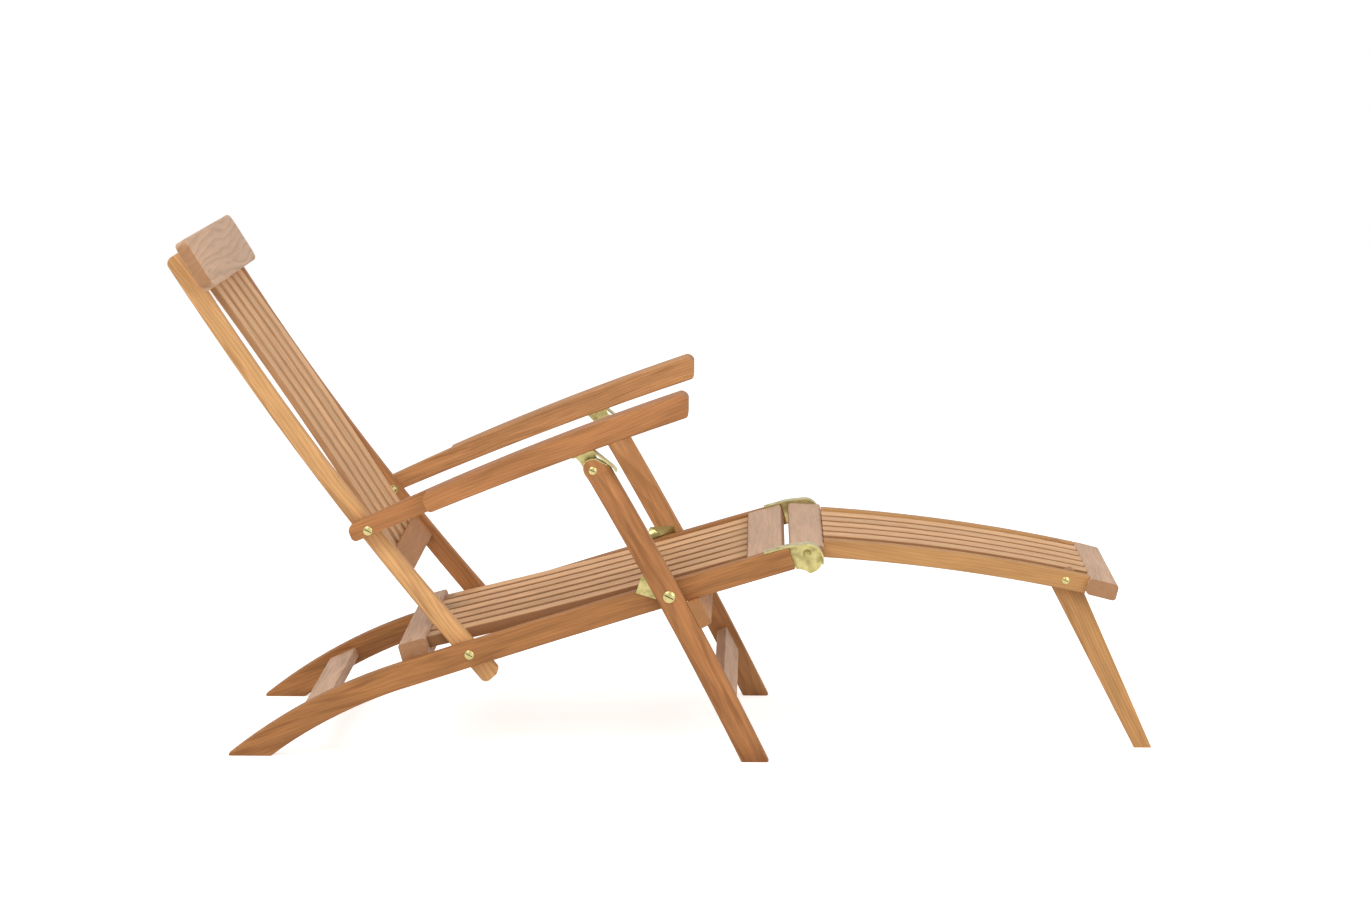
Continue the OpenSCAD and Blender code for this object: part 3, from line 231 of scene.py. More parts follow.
class Nodes:
    """The emptied node tree of a material or a world, with a short call for each kind of node used often"""

    def __init__(self, owner):
        owner.use_nodes = True
        self.tree = owner.node_tree
        self.tree.nodes.clear()

    def add(self, kind, values):
        """Adds a node. A value is an output to link, a constant for an input, or a setting of the node."""
        column, row = divmod(len(self.tree.nodes), NODES_DOWN)
        made = self.tree.nodes.new("ShaderNode" + kind)
        made.location = (column * NODE_WIDTH, -row * NODE_DROP)
        for key, value in values.items():
            if isinstance(value, bpy.types.NodeSocket):
                self.tree.links.new(value, made.inputs[key])
            elif isinstance(key, str) and hasattr(made, key):
                setattr(made, key, value)
            else:
                made.inputs[key].default_value = value
        return made

    def maths(self, operation, *values):
        """The result of an operation on numbers and outputs."""
        return self.add("Math", {"operation": operation, **dict(enumerate(values))}).outputs[0]

    def vectors(self, operation, *values):
        """The result of an operation on vectors and vector outputs."""
        return self.add("VectorMath", {"operation": operation, **dict(enumerate(values))}).outputs[0]

    def spread(self, value, low=0.0, high=1.0, bottom=0.0, top=1.0):
        """Turns the range from low to high into the one from bottom to top, and stays within it."""
        return self.add("MapRange", {
            "From Min": low, "From Max": high, "To Min": bottom, "To Max": top, "Value": value,
        }).outputs[0]

    def mix(self, share, first, second):
        """Puts a share of the second colour over the first."""
        return self.add("Mix", {"data_type": "RGBA", 0: share, 6: first, 7: second}).outputs[2]

    def brighten(self, tint, level):
        """Makes a colour brighter above a level of 1 and darker below it."""
        return self.add("HueSaturation", {"Value": level, "Color": tint}).outputs["Color"]

    def noise(self, place, size, detail, roughness, turn=(0.0, 0.0, 0.0)):
        """Noise whose blots have the given sizes along x, y and z, in millimetres."""
        scale = tuple(1 / width for width in size)
        drawn = self.add("Mapping", {"Rotation": turn, "Scale": scale, "Vector": place})
        return self.add("TexNoise", {
            "Scale": 1.0, "Detail": detail, "Roughness": roughness, "Vector": drawn.outputs["Vector"],
        })

    def ramp(self, value, stops):
        """A colour ramp, whose stops are pairs of a position and a colour."""
        made = self.add("ValToRGB", {"Fac": value})
        elements = made.color_ramp.elements
        for i, (position, tint) in enumerate(stops):
            element = elements[i] if i < len(elements) else elements.new(position)
            element.position = position
            element.color = tint
        return made.outputs["Color"]


def board_space(nodes, place, grain_turn, board_pitch):
    """Place in the tree in millimetres, x along the grain, and each board's own chance value."""
    turned = nodes.add("Mapping", {"Rotation": grain_turn, "Scale": (MM, MM, MM), "Vector": place})
    side = nodes.add("SeparateXYZ", {"Vector": place})
    count = nodes.maths("FLOOR", nodes.maths("MULTIPLY_ADD", side.outputs["Y"], MM / board_pitch, 0.5))
    chance = nodes.add("TexWhiteNoise", {"noise_dimensions": "1D", "W": count})
    shift = nodes.vectors("MULTIPLY", chance.outputs["Color"], BOARD_SHIFT)
    return nodes.vectors("ADD", turned.outputs["Vector"], shift), chance.outputs["Value"]


def ring_space(nodes, moved, heart, sway, sway_length):
    """Place among the rings. The trunk isn't straight: slow waves along the board push the rings aside."""
    wander = nodes.noise(moved, (sway_length, WANDER_WIDTH, WANDER_WIDTH), detail=2.0, roughness=0.5)
    centre = (0.0, heart[0] - sway / 2, heart[1] - sway / 2)
    push = nodes.vectors("MULTIPLY_ADD", wander.outputs["Color"], (0.0, sway, sway), centre)
    return nodes.vectors("ADD", moved, push)


def face_wear_and_shade(nodes, tint, normal, grain_turn, settings, pale, side_shade):
    """Darkens sawn ends, which take more oil, paints shade on slats' sides and pales the eased edges,
    handled most.
    """
    facing = nodes.add("Mapping", {"vector_type": "NORMAL", "Rotation": grain_turn, "Vector": normal})
    parts = nodes.add("SeparateXYZ", {"Vector": facing.outputs["Vector"]})
    end = nodes.maths("ABSOLUTE", parts.outputs["X"])
    ended = nodes.mix(nodes.spread(end, low=0.55, high=0.9, top=0.75), tint, linear(settings.end_grain))
    corner = nodes.maths("ABSOLUTE", nodes.maths("MULTIPLY", parts.outputs["Y"], parts.outputs["Z"]))
    worn = nodes.mix(nodes.spread(corner, low=0.25, high=0.5, top=0.3), ended, pale)
    # Painted shade on the slats' sides, which face each other across narrow gaps
    side_shade_mask = nodes.maths("ABSOLUTE", parts.outputs["Y"])
    return nodes.mix(nodes.spread(side_shade_mask, low=0.55, high=0.95, top=side_shade), worn, linear(settings.gap))


def teak(name, settings, face, heading=0.0, across=False, heart=(40.0, 26.0), board_pitch=2000.0,
         figure=0.6, flame=0.5, side_shade=0.0, ring_wide=1.0, sway=40.0, sway_length=360.0, pore_show=1.0):
    """Teak, sawn, sanded and oiled: long dark pores, rings that run out in arches, and darker sawn ends.

    heading is the grain's direction in degrees above +X, unless the grain runs across the chair along Y.
    heart is where the middle of the tree lay from the board, in millimetres across the grain.
    board_pitch is the spacing of boards side by side along Y, in millimetres, so that each has its own cut.
    figure and flame say how strongly the rings and the dark oily streaks show, from 0 to 1.
    gaps says how much painted shade darkens the sides of slats, which face each other.
    ring_wide widens the rings. The trunk wanders by sway in sway_length, both in millimetres.
    pore_show says how strongly the pores show beside their usual strength.
    """
    material = bpy.data.materials.new(name)
    nodes = Nodes(material)
    grain_turn = (0.0, 0.0, radians(-90)) if across else (0.0, radians(heading), 0.0)
    place = nodes.add("TexCoord", {})
    moved, chance = board_space(nodes, place.outputs["Object"], grain_turn, board_pitch)
    rings_at = ring_space(nodes, moved, heart, sway, sway_length)
    base = linear(face)
    late = linear(settings.latewood)
    early = tuple(min(1.0, c * (1 + EARLY_LIFT * figure)) for c in base[:3]) + (1.0,)

    # Growth rings: each turns slowly to late wood and ends in a thin dark line
    rings = nodes.add("TexWave", {
        "wave_type": "RINGS", "rings_direction": "X", "wave_profile": "SAW", "Vector": rings_at,
        "Scale": RING_WAVE / (settings.ring * MM * ring_wide), "Distortion": 0.7, "Detail": 2.0,
        "Detail Scale": 0.4,
    })
    line = between(base, late, LATE_SHARE * figure)
    ringed = nodes.ramp(rings.outputs["Fac"], [(0.0, early), (0.5, base), (0.88, line), (1.0, base)])

    # Broad areas that are paler or darker, the more so the livelier the board
    broad = nodes.noise(rings_at, BROAD, detail=3.0, roughness=0.55)
    lively = 0.3 + 0.5 * flame
    level = nodes.spread(
        broad.outputs["Fac"], low=0.34, high=0.66, bottom=1 + 0.24 * lively, top=1 - 0.26 * lively,
    )
    toned = nodes.brighten(ringed, level)

    # Fibres: much longer than wide
    fibres = nodes.noise(moved, FIBRE, detail=3.0, roughness=0.6)
    fibre_mask = nodes.spread(fibres.outputs["Fac"], low=0.45, high=0.72, top=0.3)
    fibred = nodes.mix(fibre_mask, toned, between(base, late, FIBRE_SHARE))

    # Flames: dark, oily streaks that come and go along the board
    flame_size = (settings.flame * MM, FLAME_WIDTH, FLAME_WIDTH)
    flames = nodes.noise(rings_at, flame_size, detail=2.5, roughness=0.5)
    flame_mask = nodes.spread(flames.outputs["Fac"], low=0.53, high=0.68, top=0.7 * flame)
    flamed = nodes.mix(flame_mask, fibred, late)

    # Pores: short dark streaks
    pore_size = (settings.streak * MM, settings.pore * MM, settings.pore * MM)
    pores = nodes.noise(moved, pore_size, detail=1.0, roughness=0.4)
    pore_mask = nodes.spread(pores.outputs["Fac"], low=0.6, high=0.74)
    pore_amount = nodes.maths("MULTIPLY", pore_mask, pore_show * (0.2 + 0.24 * figure))
    pored = nodes.mix(pore_amount, flamed, late)

    # Each board is a little paler or darker than the next
    boards = nodes.brighten(pored, nodes.spread(chance, bottom=0.9, top=1.08))
    tint = face_wear_and_shade(nodes, boards, place.outputs["Normal"], grain_turn, settings, early, side_shade)

    # Pores are sunk, fibres stand a hair proud and are duller
    height = nodes.maths("MULTIPLY_ADD", pore_mask, -0.6, fibres.outputs["Fac"])
    bump = nodes.add("Bump", {"Strength": 0.35, "Distance": 0.0003, "Height": height})
    rough = settings.roughness
    dull = nodes.spread(fibres.outputs["Fac"], low=0.3, high=0.75, bottom=rough - 0.06, top=rough + 0.16)
    skin = nodes.add("BsdfPrincipled", {
        "IOR": 1.5, "Specular IOR Level": 0.3, "Base Color": tint, "Roughness": dull,
        "Normal": bump.outputs["Normal"],
    })
    nodes.add("OutputMaterial", {"Surface": skin.outputs["BSDF"]})
    return material


def cross_teak(name, settings, face, **cut):
    """Teak of a board that lies across the chair."""
    return teak(name, settings, face, across=True, **cut)


def sheet_brass(name, settings, wear=1.0, gloss=0.0, slots=False):
    """Brass, tumbled and left unlacquered: warm metal with dull greenish patches and fine polishing lines.

    wear says how strongly the patches show, and gloss how much smoother than the settings the metal is.
    slots puts painted shade on the floors of the slots, the one flat face that looks straight out of a domed
    head.
    """
    material = bpy.data.materials.new(name)
    nodes = Nodes(material)
    place = nodes.add("TexCoord", {})
    sized = nodes.add("Mapping", {"Scale": (MM, MM, MM), "Vector": place.outputs["Object"]})
    at_mm = sized.outputs["Vector"]
    patches = nodes.noise(at_mm, (settings.patch * MM,) * 3, detail=4.0, roughness=0.62)
    film = nodes.spread(patches.outputs["Fac"], low=0.4, high=0.68, top=0.75 * wear)
    polish = (POLISH_LENGTH, POLISH_LENGTH, settings.scratch * MM)
    lines = nodes.noise(at_mm, polish, detail=2.0, roughness=0.5, turn=POLISH_LEAN)
    tint = nodes.mix(film, linear(settings.bright), linear(settings.tarnish))
    smooth = settings.roughness - gloss
    rub = nodes.spread(lines.outputs["Fac"], bottom=smooth - 0.08, top=smooth + 0.14)
    dull = nodes.maths("MULTIPLY_ADD", film, 0.16, rub)
    bump = nodes.add("Bump", {"Strength": 0.18, "Distance": 0.0001, "Height": lines.outputs["Fac"]})
    metal = 1.0
    if slots:
        # Painted shade: the slot floors turn dark and not metallic
        facing = nodes.add("SeparateXYZ", {"Vector": place.outputs["Normal"]})
        outward = nodes.maths("ABSOLUTE", facing.outputs["Y"])
        slot = nodes.spread(outward, low=0.998, high=0.9992)
        tint = nodes.mix(slot, tint, linear(settings.slot))
        metal = nodes.maths("SUBTRACT", 1.0, slot)
    skin = nodes.add("BsdfPrincipled", {
        "Metallic": metal, "Base Color": tint, "Roughness": dull, "Normal": bump.outputs["Normal"],
    })
    nodes.add("OutputMaterial", {"Surface": skin.outputs["BSDF"]})
    return material


def finish_nodes(material, *names):
    """Gives CAD nodes their finish. Their meshes aren't touched."""
    for name in names:
        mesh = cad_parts[name].data
        mesh.materials.clear()
        mesh.materials.append(material)


def copy_of(name):
    """A merged copy of a CAD node, the only thing selected."""
    bpy.ops.object.select_all(action="DESELECT")
    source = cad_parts[name]
    piece = source.copy()
    piece.data = source.data.copy()
    piece.name = name + "_shaped"
    bpy.context.collection.objects.link(piece)
    bpy.context.view_layer.objects.active = piece
    piece.select_set(True)
    bpy.ops.object.mode_set(mode="EDIT")
    bpy.ops.mesh.select_all(action="SELECT")
    bpy.ops.mesh.remove_doubles(threshold=MERGE)
    bpy.ops.mesh.select_all(action="DESELECT")
    bpy.ops.object.mode_set(mode="OBJECT")
    return piece


class DECKCHAIR_OT_seat_frame(bpy.types.Operator):
    """Finishes the bent seat rails, the boards between them and the seat slats"""

    bl_idname = "deckchair.seat_frame"
    bl_label = "Seat frame"

    def execute(self, context):
        t = context.scene.deckchair_teak
        rails = teak("Teak, bent seat rails", t, t.honey, heading=18, heart=(30, 60), board_pitch=200,
                     flame=0.9)
        finish_nodes(rails, "seat_rail_left", "seat_rail_right")
        stretcher = cross_teak("Teak, rear stretcher", t, t.sand, heart=(60, 18), figure=0.4)
        finish_nodes(stretcher, "rear_stretcher")
        rear = cross_teak("Teak, seat rear board", t, t.sand, heart=(12, 90), figure=0.4)
        finish_nodes(rear, "seat_rear_board")
        front = cross_teak("Teak, seat front board", t, t.sand, heart=(90, 150), figure=0.15, flame=0.2)
        finish_nodes(front, "seat_front_board")
        finish_nodes(cross_teak("Teak, stop bar", t, t.tan, heart=(20, 50)), "stop_bar")
        slats = teak("Teak, seat slats", t, t.peach, heading=17, heart=(10, 45), board_pitch=58, figure=0.4,
                     flame=0.2, side_shade=0.9)
        finish_nodes(slats, "seat_slats")
        return {"FINISHED"}


class DECKCHAIR_OT_seat_slats(bpy.types.Operator):
    """Deepens the seat slats: their undersides move down, their tops stay"""

    bl_idname = "deckchair.seat_slats"
    bl_label = "Seat slats"

    def execute(self, context):
        piece = copy_of("seat_slats")

        # Faces count as undersides when their normals point further down than this
        under = -0.2
        for vertex in piece.data.vertices:
            vertex.select = vertex.normal.z < under
        bpy.ops.object.mode_set(mode="EDIT")
        bpy.ops.transform.translate(value=(0, 0, -context.scene.deckchair_boards.slat_deeper))
        bpy.ops.object.mode_set(mode="OBJECT")
        bpy.ops.object.shade_smooth_by_angle(angle=SMOOTH_UNDER)
        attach(piece, "seat_frame")
        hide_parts("seat_slats")
        return {"FINISHED"}


class DECKCHAIR_OT_backrest(bpy.types.Operator):
    """Finishes the backrest's stiles, slats and lower rail"""

    bl_idname = "deckchair.backrest"
    bl_label = "Backrest"

    def execute(self, context):
        t = context.scene.deckchair_teak
        near = teak("Teak, near stile", t, t.gold, heading=126, heart=(26, 55), flame=0.6)
        finish_nodes(near, "back_stile_right")
        # Painted shade: the far stile takes the darker rosy tone, where the near stile is gold.
        far = teak("Teak, far stile", t, t.rosy_and_shade, heading=126, heart=(40, 30), flame=0.6)
        finish_nodes(far, "back_stile_left")
        slats = teak("Teak, back slats", t, t.peach, heading=126, heart=(8, 50), board_pitch=67, figure=0.4,
                     flame=0.3, side_shade=0.5)
        finish_nodes(slats, "back_slats")
        finish_nodes(cross_teak("Teak, lower back rail", t, t.honey, heart=(45, 30)), "back_lower_rail")
        return {"FINISHED"}


class DECKCHAIR_OT_back_slats(bpy.types.Operator):
    """Straightens the back slats, which stand before the hollow front edges of the stiles"""

    bl_idname = "deckchair.back_slats"
    bl_label = "Back slats"

    def execute(self, context):
        piece = copy_of("back_slats")
        spots = [vertex.co for vertex in piece.data.vertices]
        foot = min(spots, key=lambda p: p.z).copy()
        head = max(spots, key=lambda p: p.z).copy()
        way = Vector((head.x - foot.x, 0, head.z - foot.z))
        forward = Vector((way.z, 0, -way.x)).normalized()
        rise = context.scene.deckchair_boards.slat_proud
        for point in spots:
            share = min(1.0, max(0.0, (point - foot).dot(way) / way.length_squared))

            # A parabola: nothing at either end, the whole rise in the middle
            point += 4 * share * (1 - share) * rise * forward
        bpy.ops.object.shade_smooth_by_angle(angle=SMOOTH_UNDER)
        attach(piece, "backrest")
        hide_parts("back_slats")
        return {"FINISHED"}


class DECKCHAIR_OT_headboard(bpy.types.Operator):
    """Makes the headboard, a flat board with round corners and eased edges"""

    bl_idname = "deckchair.headboard"
    bl_label = "Headboard"

    def execute(self, context):
        t = context.scene.deckchair_teak
        b = context.scene.deckchair_boards
        spots = [vertex.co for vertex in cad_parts["headboard"].data.vertices]
        low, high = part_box("headboard")
        middle = (Vector(low) + Vector(high)) / 2

        # The board's lean, from the direction in which its side outline is longest
        spread_x = sum((p.x - middle.x) ** 2 for p in spots)
        spread_z = sum((p.z - middle.z) ** 2 for p in spots)
        mixed = sum((p.x - middle.x) * (p.z - middle.z) for p in spots)
        rise = atan2(2 * mixed, spread_x - spread_z) / 2
        rise += pi if rise < 0 else 0
        way = Vector((cos(rise), 0, sin(rise)))
        out = Vector((-sin(rise), 0, cos(rise)))
        height = 2 * max((p - middle).dot(way) for p in spots)
        thick = 2 * max((p - middle).dot(out) for p in spots)

        bpy.ops.object.select_all(action="DESELECT")
        bpy.ops.mesh.primitive_cube_add(size=1, location=middle, rotation=(0, -rise, 0),
                                        scale=(height, high[1] - low[1], thick))
        piece = context.active_object
        piece.name = "headboard_rounded"
        bpy.ops.object.transform_apply(location=True, rotation=True, scale=True)

        # First the four edges that run through the board's thickness, then every edge that is still sharp
        bpy.ops.object.mode_set(mode="EDIT")
        bpy.ops.mesh.select_mode(type="EDGE")
        bpy.ops.mesh.select_all(action="DESELECT")
        bpy.ops.object.mode_set(mode="OBJECT")
        corners = piece.data.vertices
        through = 0.9
        for edge in piece.data.edges:
            run = corners[edge.vertices[0]].co - corners[edge.vertices[1]].co
            edge.select = abs(run.normalized().dot(out)) > through
        bpy.ops.object.mode_set(mode="EDIT")
        bpy.ops.mesh.bevel(offset=b.headboard_corner, segments=8, affect="EDGES")
        bpy.ops.mesh.select_all(action="DESELECT")
        bpy.ops.mesh.edges_select_sharp(sharpness=radians(50))
        bpy.ops.mesh.bevel(offset=b.headboard_ease, segments=4, affect="EDGES")
        bpy.ops.mesh.select_mode(type="VERT")
        bpy.ops.object.mode_set(mode="OBJECT")
        bpy.ops.object.shade_smooth_by_angle(angle=SMOOTH_UNDER)

        # The tree's middle lay close behind the board, so its rings run out in wide arches on the face
        heart = MM * (middle - b.headboard_heart * out)
        board = cross_teak("Teak, headboard", t, t.sand, heart=(heart.x, -heart.z), figure=0.65, flame=0.15,
                           ring_wide=2.2, sway=90.0, sway_length=420.0, pore_show=0.3)
        piece.data.materials.append(board)
        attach(piece, "backrest")
        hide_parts("headboard")
        return {"FINISHED"}


class DECKCHAIR_OT_arms(bpy.types.Operator):
    """Finishes the two armrests"""

    bl_idname = "deckchair.arms"
    bl_label = "Arms"

    def execute(self, context):
        t = context.scene.deckchair_teak
        near = teak("Teak, near arm", t, t.rosy_and_shade, heading=21, heart=(60, 34), flame=0.6)
        finish_nodes(near, "arm_right")
        far = teak("Teak, far arm", t, t.tan, heading=21, heart=(34, 48), flame=0.7)
        finish_nodes(far, "arm_left")
        return {"FINISHED"}


class DECKCHAIR_OT_front_legs(bpy.types.Operator):
    """Finishes the front legs and the stretcher between them"""

    bl_idname = "deckchair.front_legs"
    bl_label = "Front legs"

    def execute(self, context):
        t = context.scene.deckchair_teak
        near = teak("Teak, near front leg", t, t.rosy_and_shade, heading=118, heart=(36, 22), flame=1.0)
        finish_nodes(near, "front_leg_right")
        far = teak("Teak, far front leg", t, t.tan, heading=118, heart=(24, 40), flame=0.7)
        finish_nodes(far, "front_leg_left")
        stretcher = cross_teak("Teak, front stretcher", t, t.sand, heart=(30, 40), figure=0.4)
        finish_nodes(stretcher, "front_stretcher")
        return {"FINISHED"}


class DECKCHAIR_OT_leg_rest(bpy.types.Operator):
    """Finishes the leg rest's rails, slats and its two cross boards"""

    bl_idname = "deckchair.leg_rest"
    bl_label = "Leg rest"

    def execute(self, context):
        t = context.scene.deckchair_teak
        rails = teak("Teak, leg rest rails", t, t.straw, heading=-8, heart=(40, 48), board_pitch=200,
                     figure=0.35, flame=0.2)
        finish_nodes(rails, "leg_rest_rail_left", "leg_rest_rail_right")
        slats = teak("Teak, leg rest slats", t, t.peach, heading=-8, heart=(8, 45), board_pitch=52,
                     figure=0.4, flame=0.2, side_shade=0.8)
        finish_nodes(slats, "leg_rest_slats")
        hinge_board = cross_teak("Teak, hinge board", t, t.sand, heart=(104, 180), figure=0.15, flame=0.15)
        finish_nodes(hinge_board, "leg_rest_hinge_board")
        foot_board = cross_teak("Teak, foot board", t, t.sand, heart=(20, 60), figure=0.3, flame=0.3)
        finish_nodes(foot_board, "foot_board")
        return {"FINISHED"}


class DECKCHAIR_OT_prop_legs(bpy.types.Operator):
    """Finishes the prop legs under the leg rest and their stretcher"""

    bl_idname = "deckchair.prop_legs"
    bl_label = "Prop legs"

    def execute(self, context):
        t = context.scene.deckchair_teak
        legs = teak("Teak, prop legs", t, t.straw, heading=-64, heart=(30, 40), board_pitch=150)
        finish_nodes(legs, "prop_leg_left", "prop_leg_right")
        finish_nodes(cross_teak("Teak, prop stretcher", t, t.honey, heart=(25, 35)), "prop_stretcher")
        return {"FINISHED"}


class DECKCHAIR_OT_brass_plates(bpy.types.Operator):
    """Finishes the sheet brass: hinge brackets, arm brackets, stop plates and leg caps"""

    bl_idname = "deckchair.brass_plates"
    bl_label = "Brass plates"

    def execute(self, context):
        brass = sheet_brass("Brass, pressed sheet", context.scene.deckchair_brass)
        finish_nodes(brass, "hinge_pins", "hinge_bracket_left", "hinge_bracket_right", "arm_bracket_left",
                     "arm_bracket_right", "leg_stop_plates", "leg_top_caps")
        return {"FINISHED"}


class DECKCHAIR_OT_leg_heads(bpy.types.Operator):
    """Slims the heads of the front legs and their caps, so that each leg's rear edge runs on to its top"""

    bl_idname = "deckchair.leg_heads"
    bl_label = "Leg heads"

    def execute(self, context):
        low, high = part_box("leg_top_screws")
        screw = Vector(((low[0] + high[0]) / 2, 0, (low[2] + high[2]) / 2))
        upward = Vector((cos(HEAD_HEADING), 0, sin(HEAD_HEADING)))
        rearward = Vector((-sin(HEAD_HEADING), 0, cos(HEAD_HEADING)))
        rear = context.scene.deckchair_boards.head_rear
        for name in ("front_leg_left", "front_leg_right", "leg_top_caps"):
            piece = copy_of(name)

            # Behind the screw, the round top is squeezed in and what bulges below it is cut back
            for vertex in piece.data.vertices:
                arm = Vector((vertex.co.x - screw.x, 0, vertex.co.z - screw.z))
                behind = arm.dot(rearward)
                if behind < 0 or not HEAD_BORE < arm.length < HEAD_CAP:
                    continue
                if arm.dot(upward) > 0:
                    target = behind * rear / HEAD_RADIUS
                else:
                    target = min(behind, rear * max(1, arm.length / HEAD_RADIUS))
                vertex.co += (target - behind) * rearward
            bpy.ops.object.shade_smooth_by_angle(angle=SMOOTH_UNDER)
            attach(piece, "front_legs")
            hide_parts(name)
        return {"FINISHED"}


class DECKCHAIR_OT_stop_plates(bpy.types.Operator):
    """Draws the stop plates in to the small triangles that show behind the legs"""

    bl_idname = "deckchair.stop_plates"
    bl_label = "Stop plates"

    def execute(self, context):
        b = context.scene.deckchair_boards
        piece = copy_of("leg_stop_plates")
        spots = [vertex.co for vertex in piece.data.vertices]
        top = min(spots, key=lambda p: p.x).copy()
        front = min(spots, key=lambda p: p.z).copy()

        # Corners lie this near to the ones found, and the rear edge lies within the zone
        near = 0.001
        rear_zone = 0.008
        for point in spots:
            if abs(point.x - top.x) + abs(point.z - top.z) < near:
                point += Vector((b.plate_top, 0, b.plate_rise))
            elif point.x < top.x + rear_zone:
                point += Vector((b.plate_rear, 0, b.plate_lift))
            elif abs(point.x - front.x) + abs(point.z - front.z) < near:
                point.z -= b.plate_fall
        bpy.ops.object.shade_smooth_by_angle(angle=SMOOTH_UNDER)
        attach(piece, "front_legs")
        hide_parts("leg_stop_plates")
        return {"FINISHED"}


class DECKCHAIR_OT_brass_fasteners(bpy.types.Operator):
    """Finishes the turned brass: bolts, dome nuts, washers, pins and slotted screws"""

    bl_idname = "deckchair.brass_fasteners"
    bl_label = "Brass fasteners"

    def execute(self, context):
        brass = context.scene.deckchair_brass
        turned = sheet_brass("Brass, turned and polished", brass, wear=0.45, gloss=0.08)
        finish_nodes(turned, "bracket_screws", "back_pivot_nuts", "leg_pivot_nuts", "back_pivot_washers",
                     "arm_pivot_nuts", "arm_bracket_screws", "arm_pivot_washers", "leg_pivot_washers",
                     "hinge_washers", "prop_pivot_washers", "prop_pivot_nuts")
        slotted = sheet_brass("Brass, turned heads with slots", brass, wear=0.45, gloss=0.08, slots=True)
        finish_nodes(slotted, "back_pivot_bolts", "leg_pivot_bolts", "arm_pivot_bolts",
                     "leg_top_screws", "prop_pivot_bolts")
        return {"FINISHED"}


def seen_rays(nodes):
    """1 for rays of the camera, of reflections and through glass, 0 for light that falls on the object."""
    path = nodes.add("LightPath", {})
    seen = nodes.maths("MAXIMUM", path.outputs["Is Camera Ray"], path.outputs["Is Glossy Ray"])
    return nodes.maths("MAXIMUM", seen, path.outputs["Is Transmission Ray"])


class DECKCHAIR_OT_studio(bpy.types.Operator):
    """Lays the pale floor, hangs the soft lamps and the sky, and places the camera"""

    bl_idname = "deckchair.studio"
    bl_label = "Studio"

    def execute(self, context):
        s = context.scene.deckchair_studio
        bpy.ops.object.select_all(action="DESELECT")

        # Painted floor, matt. The camera and reflections see a little glow on it, but it doesn't light
        # the object.
        bpy.ops.mesh.primitive_plane_add(size=s.floor_size, location=(0, 0, 0))
        floor = context.active_object
        floor.name = "studio_floor"
        paint = bpy.data.materials.new("Floor paint, matt")
        nodes = Nodes(paint)
        lift = nodes.maths("MULTIPLY", seen_rays(nodes), s.floor_lift)
        glow = nodes.add("Emission", {"Color": WHITE, "Strength": lift})
        matt = nodes.add("BsdfDiffuse", {"Color": linear(s.floor)})
        both = nodes.add("AddShader", {0: glow.outputs[0], 1: matt.outputs[0]})
        nodes.add("OutputMaterial", {"Surface": both.outputs[0]})
        floor.data.materials.append(paint)

        # Even sky: plain light for the object, white for the camera and reflections
        world = bpy.data.worlds.new("Studio sky")
        context.scene.world = world
        nodes = Nodes(world)
        level = nodes.spread(seen_rays(nodes), bottom=s.sky)
        sky = nodes.add("Background", {"Color": WHITE, "Strength": level})
        nodes.add("OutputWorld", {"Surface": sky.outputs[0]})

        # Soft lamps
        lamps = (("key_lamp", s.key_spot, s.key_aim, s.key), ("fill_lamp", s.fill_spot, s.fill_aim, s.fill))
        for name, place, aim, watts in lamps:
            bpy.ops.object.light_add(type="AREA", location=place)
            lamp = context.active_object
            lamp.name = name
            lamp.data.energy = watts
            lamp.data.size = s.lamp_size
            lamp.rotation_euler = (Vector(aim) - Vector(place)).to_track_quat("-Z", "Y").to_euler()

        # Camera: stands where the photograph was taken from
        bpy.ops.object.camera_add(location=s.eye, rotation=(s.tilt, s.roll, s.pan))
        camera = context.active_object
        camera.name = "photo_camera"
        camera.data.lens = s.lens
        camera.data.sensor_width = s.sensor
        camera.data.dof.use_dof = False
        camera.data.clip_end = s.reach
        context.scene.camera = camera

        context.scene.view_settings.view_transform = "Standard"
        return {"FINISHED"}


class DECKCHAIR_PT_panel(bpy.types.Panel):
    """Lists the finishes of the deck chair"""

    bl_idname = "DECKCHAIR_PT_panel"
    bl_label = "Deck chair"
    bl_space_type = "VIEW_3D"
    bl_region_type = "UI"
    bl_category = "Deck chair"

    def draw(self, context):
        for operator in OPERATORS:
            self.layout.operator(operator.bl_idname)
        for group in ("deckchair_teak", "deckchair_boards", "deckchair_brass", "deckchair_studio"):
            settings = getattr(context.scene, group)
            box = self.layout.box()
            for name in settings.__annotations__:
                box.prop(settings, name)


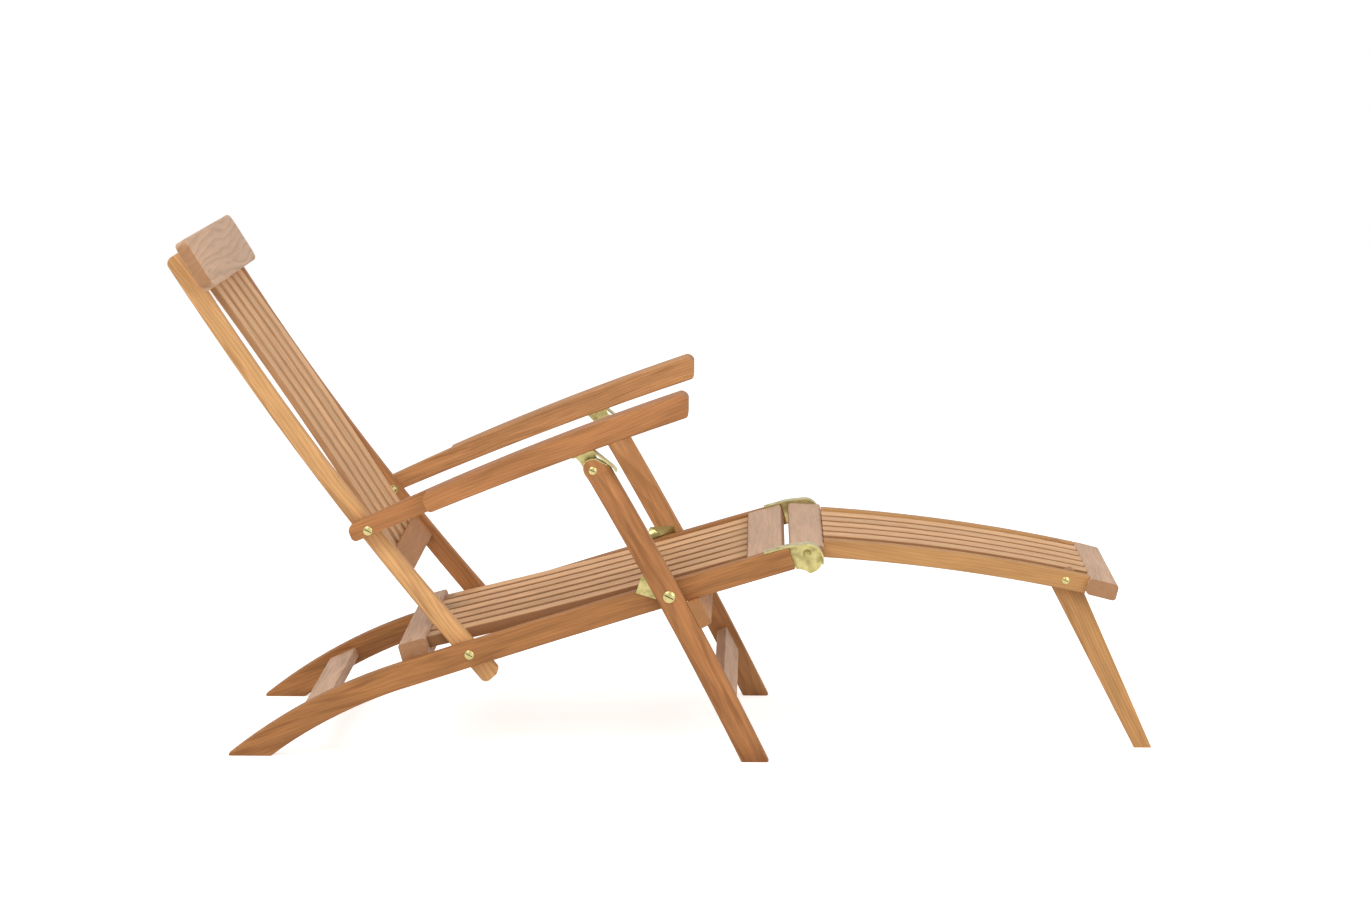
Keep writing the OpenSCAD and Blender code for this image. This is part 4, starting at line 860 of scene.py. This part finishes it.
OPERATORS = (
    DECKCHAIR_OT_seat_frame,
    DECKCHAIR_OT_seat_slats,
    DECKCHAIR_OT_backrest,
    DECKCHAIR_OT_back_slats,
    DECKCHAIR_OT_headboard,
    DECKCHAIR_OT_arms,
    DECKCHAIR_OT_front_legs,
    DECKCHAIR_OT_leg_rest,
    DECKCHAIR_OT_prop_legs,
    DECKCHAIR_OT_brass_plates,
    DECKCHAIR_OT_leg_heads,
    DECKCHAIR_OT_stop_plates,
    DECKCHAIR_OT_brass_fasteners,
    DECKCHAIR_OT_studio,
)
SETTINGS = (TeakSettings, BoardSettings, BrassSettings, StudioSettings)


def register():
    for item in (*SETTINGS, *OPERATORS, DECKCHAIR_PT_panel):
        bpy.utils.register_class(item)
    bpy.types.Scene.deckchair_teak = bpy.props.PointerProperty(type=TeakSettings)
    bpy.types.Scene.deckchair_boards = bpy.props.PointerProperty(type=BoardSettings)
    bpy.types.Scene.deckchair_brass = bpy.props.PointerProperty(type=BrassSettings)
    bpy.types.Scene.deckchair_studio = bpy.props.PointerProperty(type=StudioSettings)


def unregister():
    del bpy.types.Scene.deckchair_teak
    del bpy.types.Scene.deckchair_boards
    del bpy.types.Scene.deckchair_brass
    del bpy.types.Scene.deckchair_studio
    for item in reversed((*SETTINGS, *OPERATORS, DECKCHAIR_PT_panel)):
        bpy.utils.unregister_class(item)


def main():
    """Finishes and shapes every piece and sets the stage"""
    register()
    bpy.ops.deckchair.seat_frame()
    bpy.ops.deckchair.seat_slats()
    bpy.ops.deckchair.backrest()
    bpy.ops.deckchair.back_slats()
    bpy.ops.deckchair.headboard()
    bpy.ops.deckchair.arms()
    bpy.ops.deckchair.front_legs()
    bpy.ops.deckchair.leg_rest()
    bpy.ops.deckchair.prop_legs()
    bpy.ops.deckchair.brass_plates()
    bpy.ops.deckchair.leg_heads()
    bpy.ops.deckchair.stop_plates()
    bpy.ops.deckchair.brass_fasteners()
    bpy.ops.deckchair.studio()


if __name__ == "__main__":
    main()
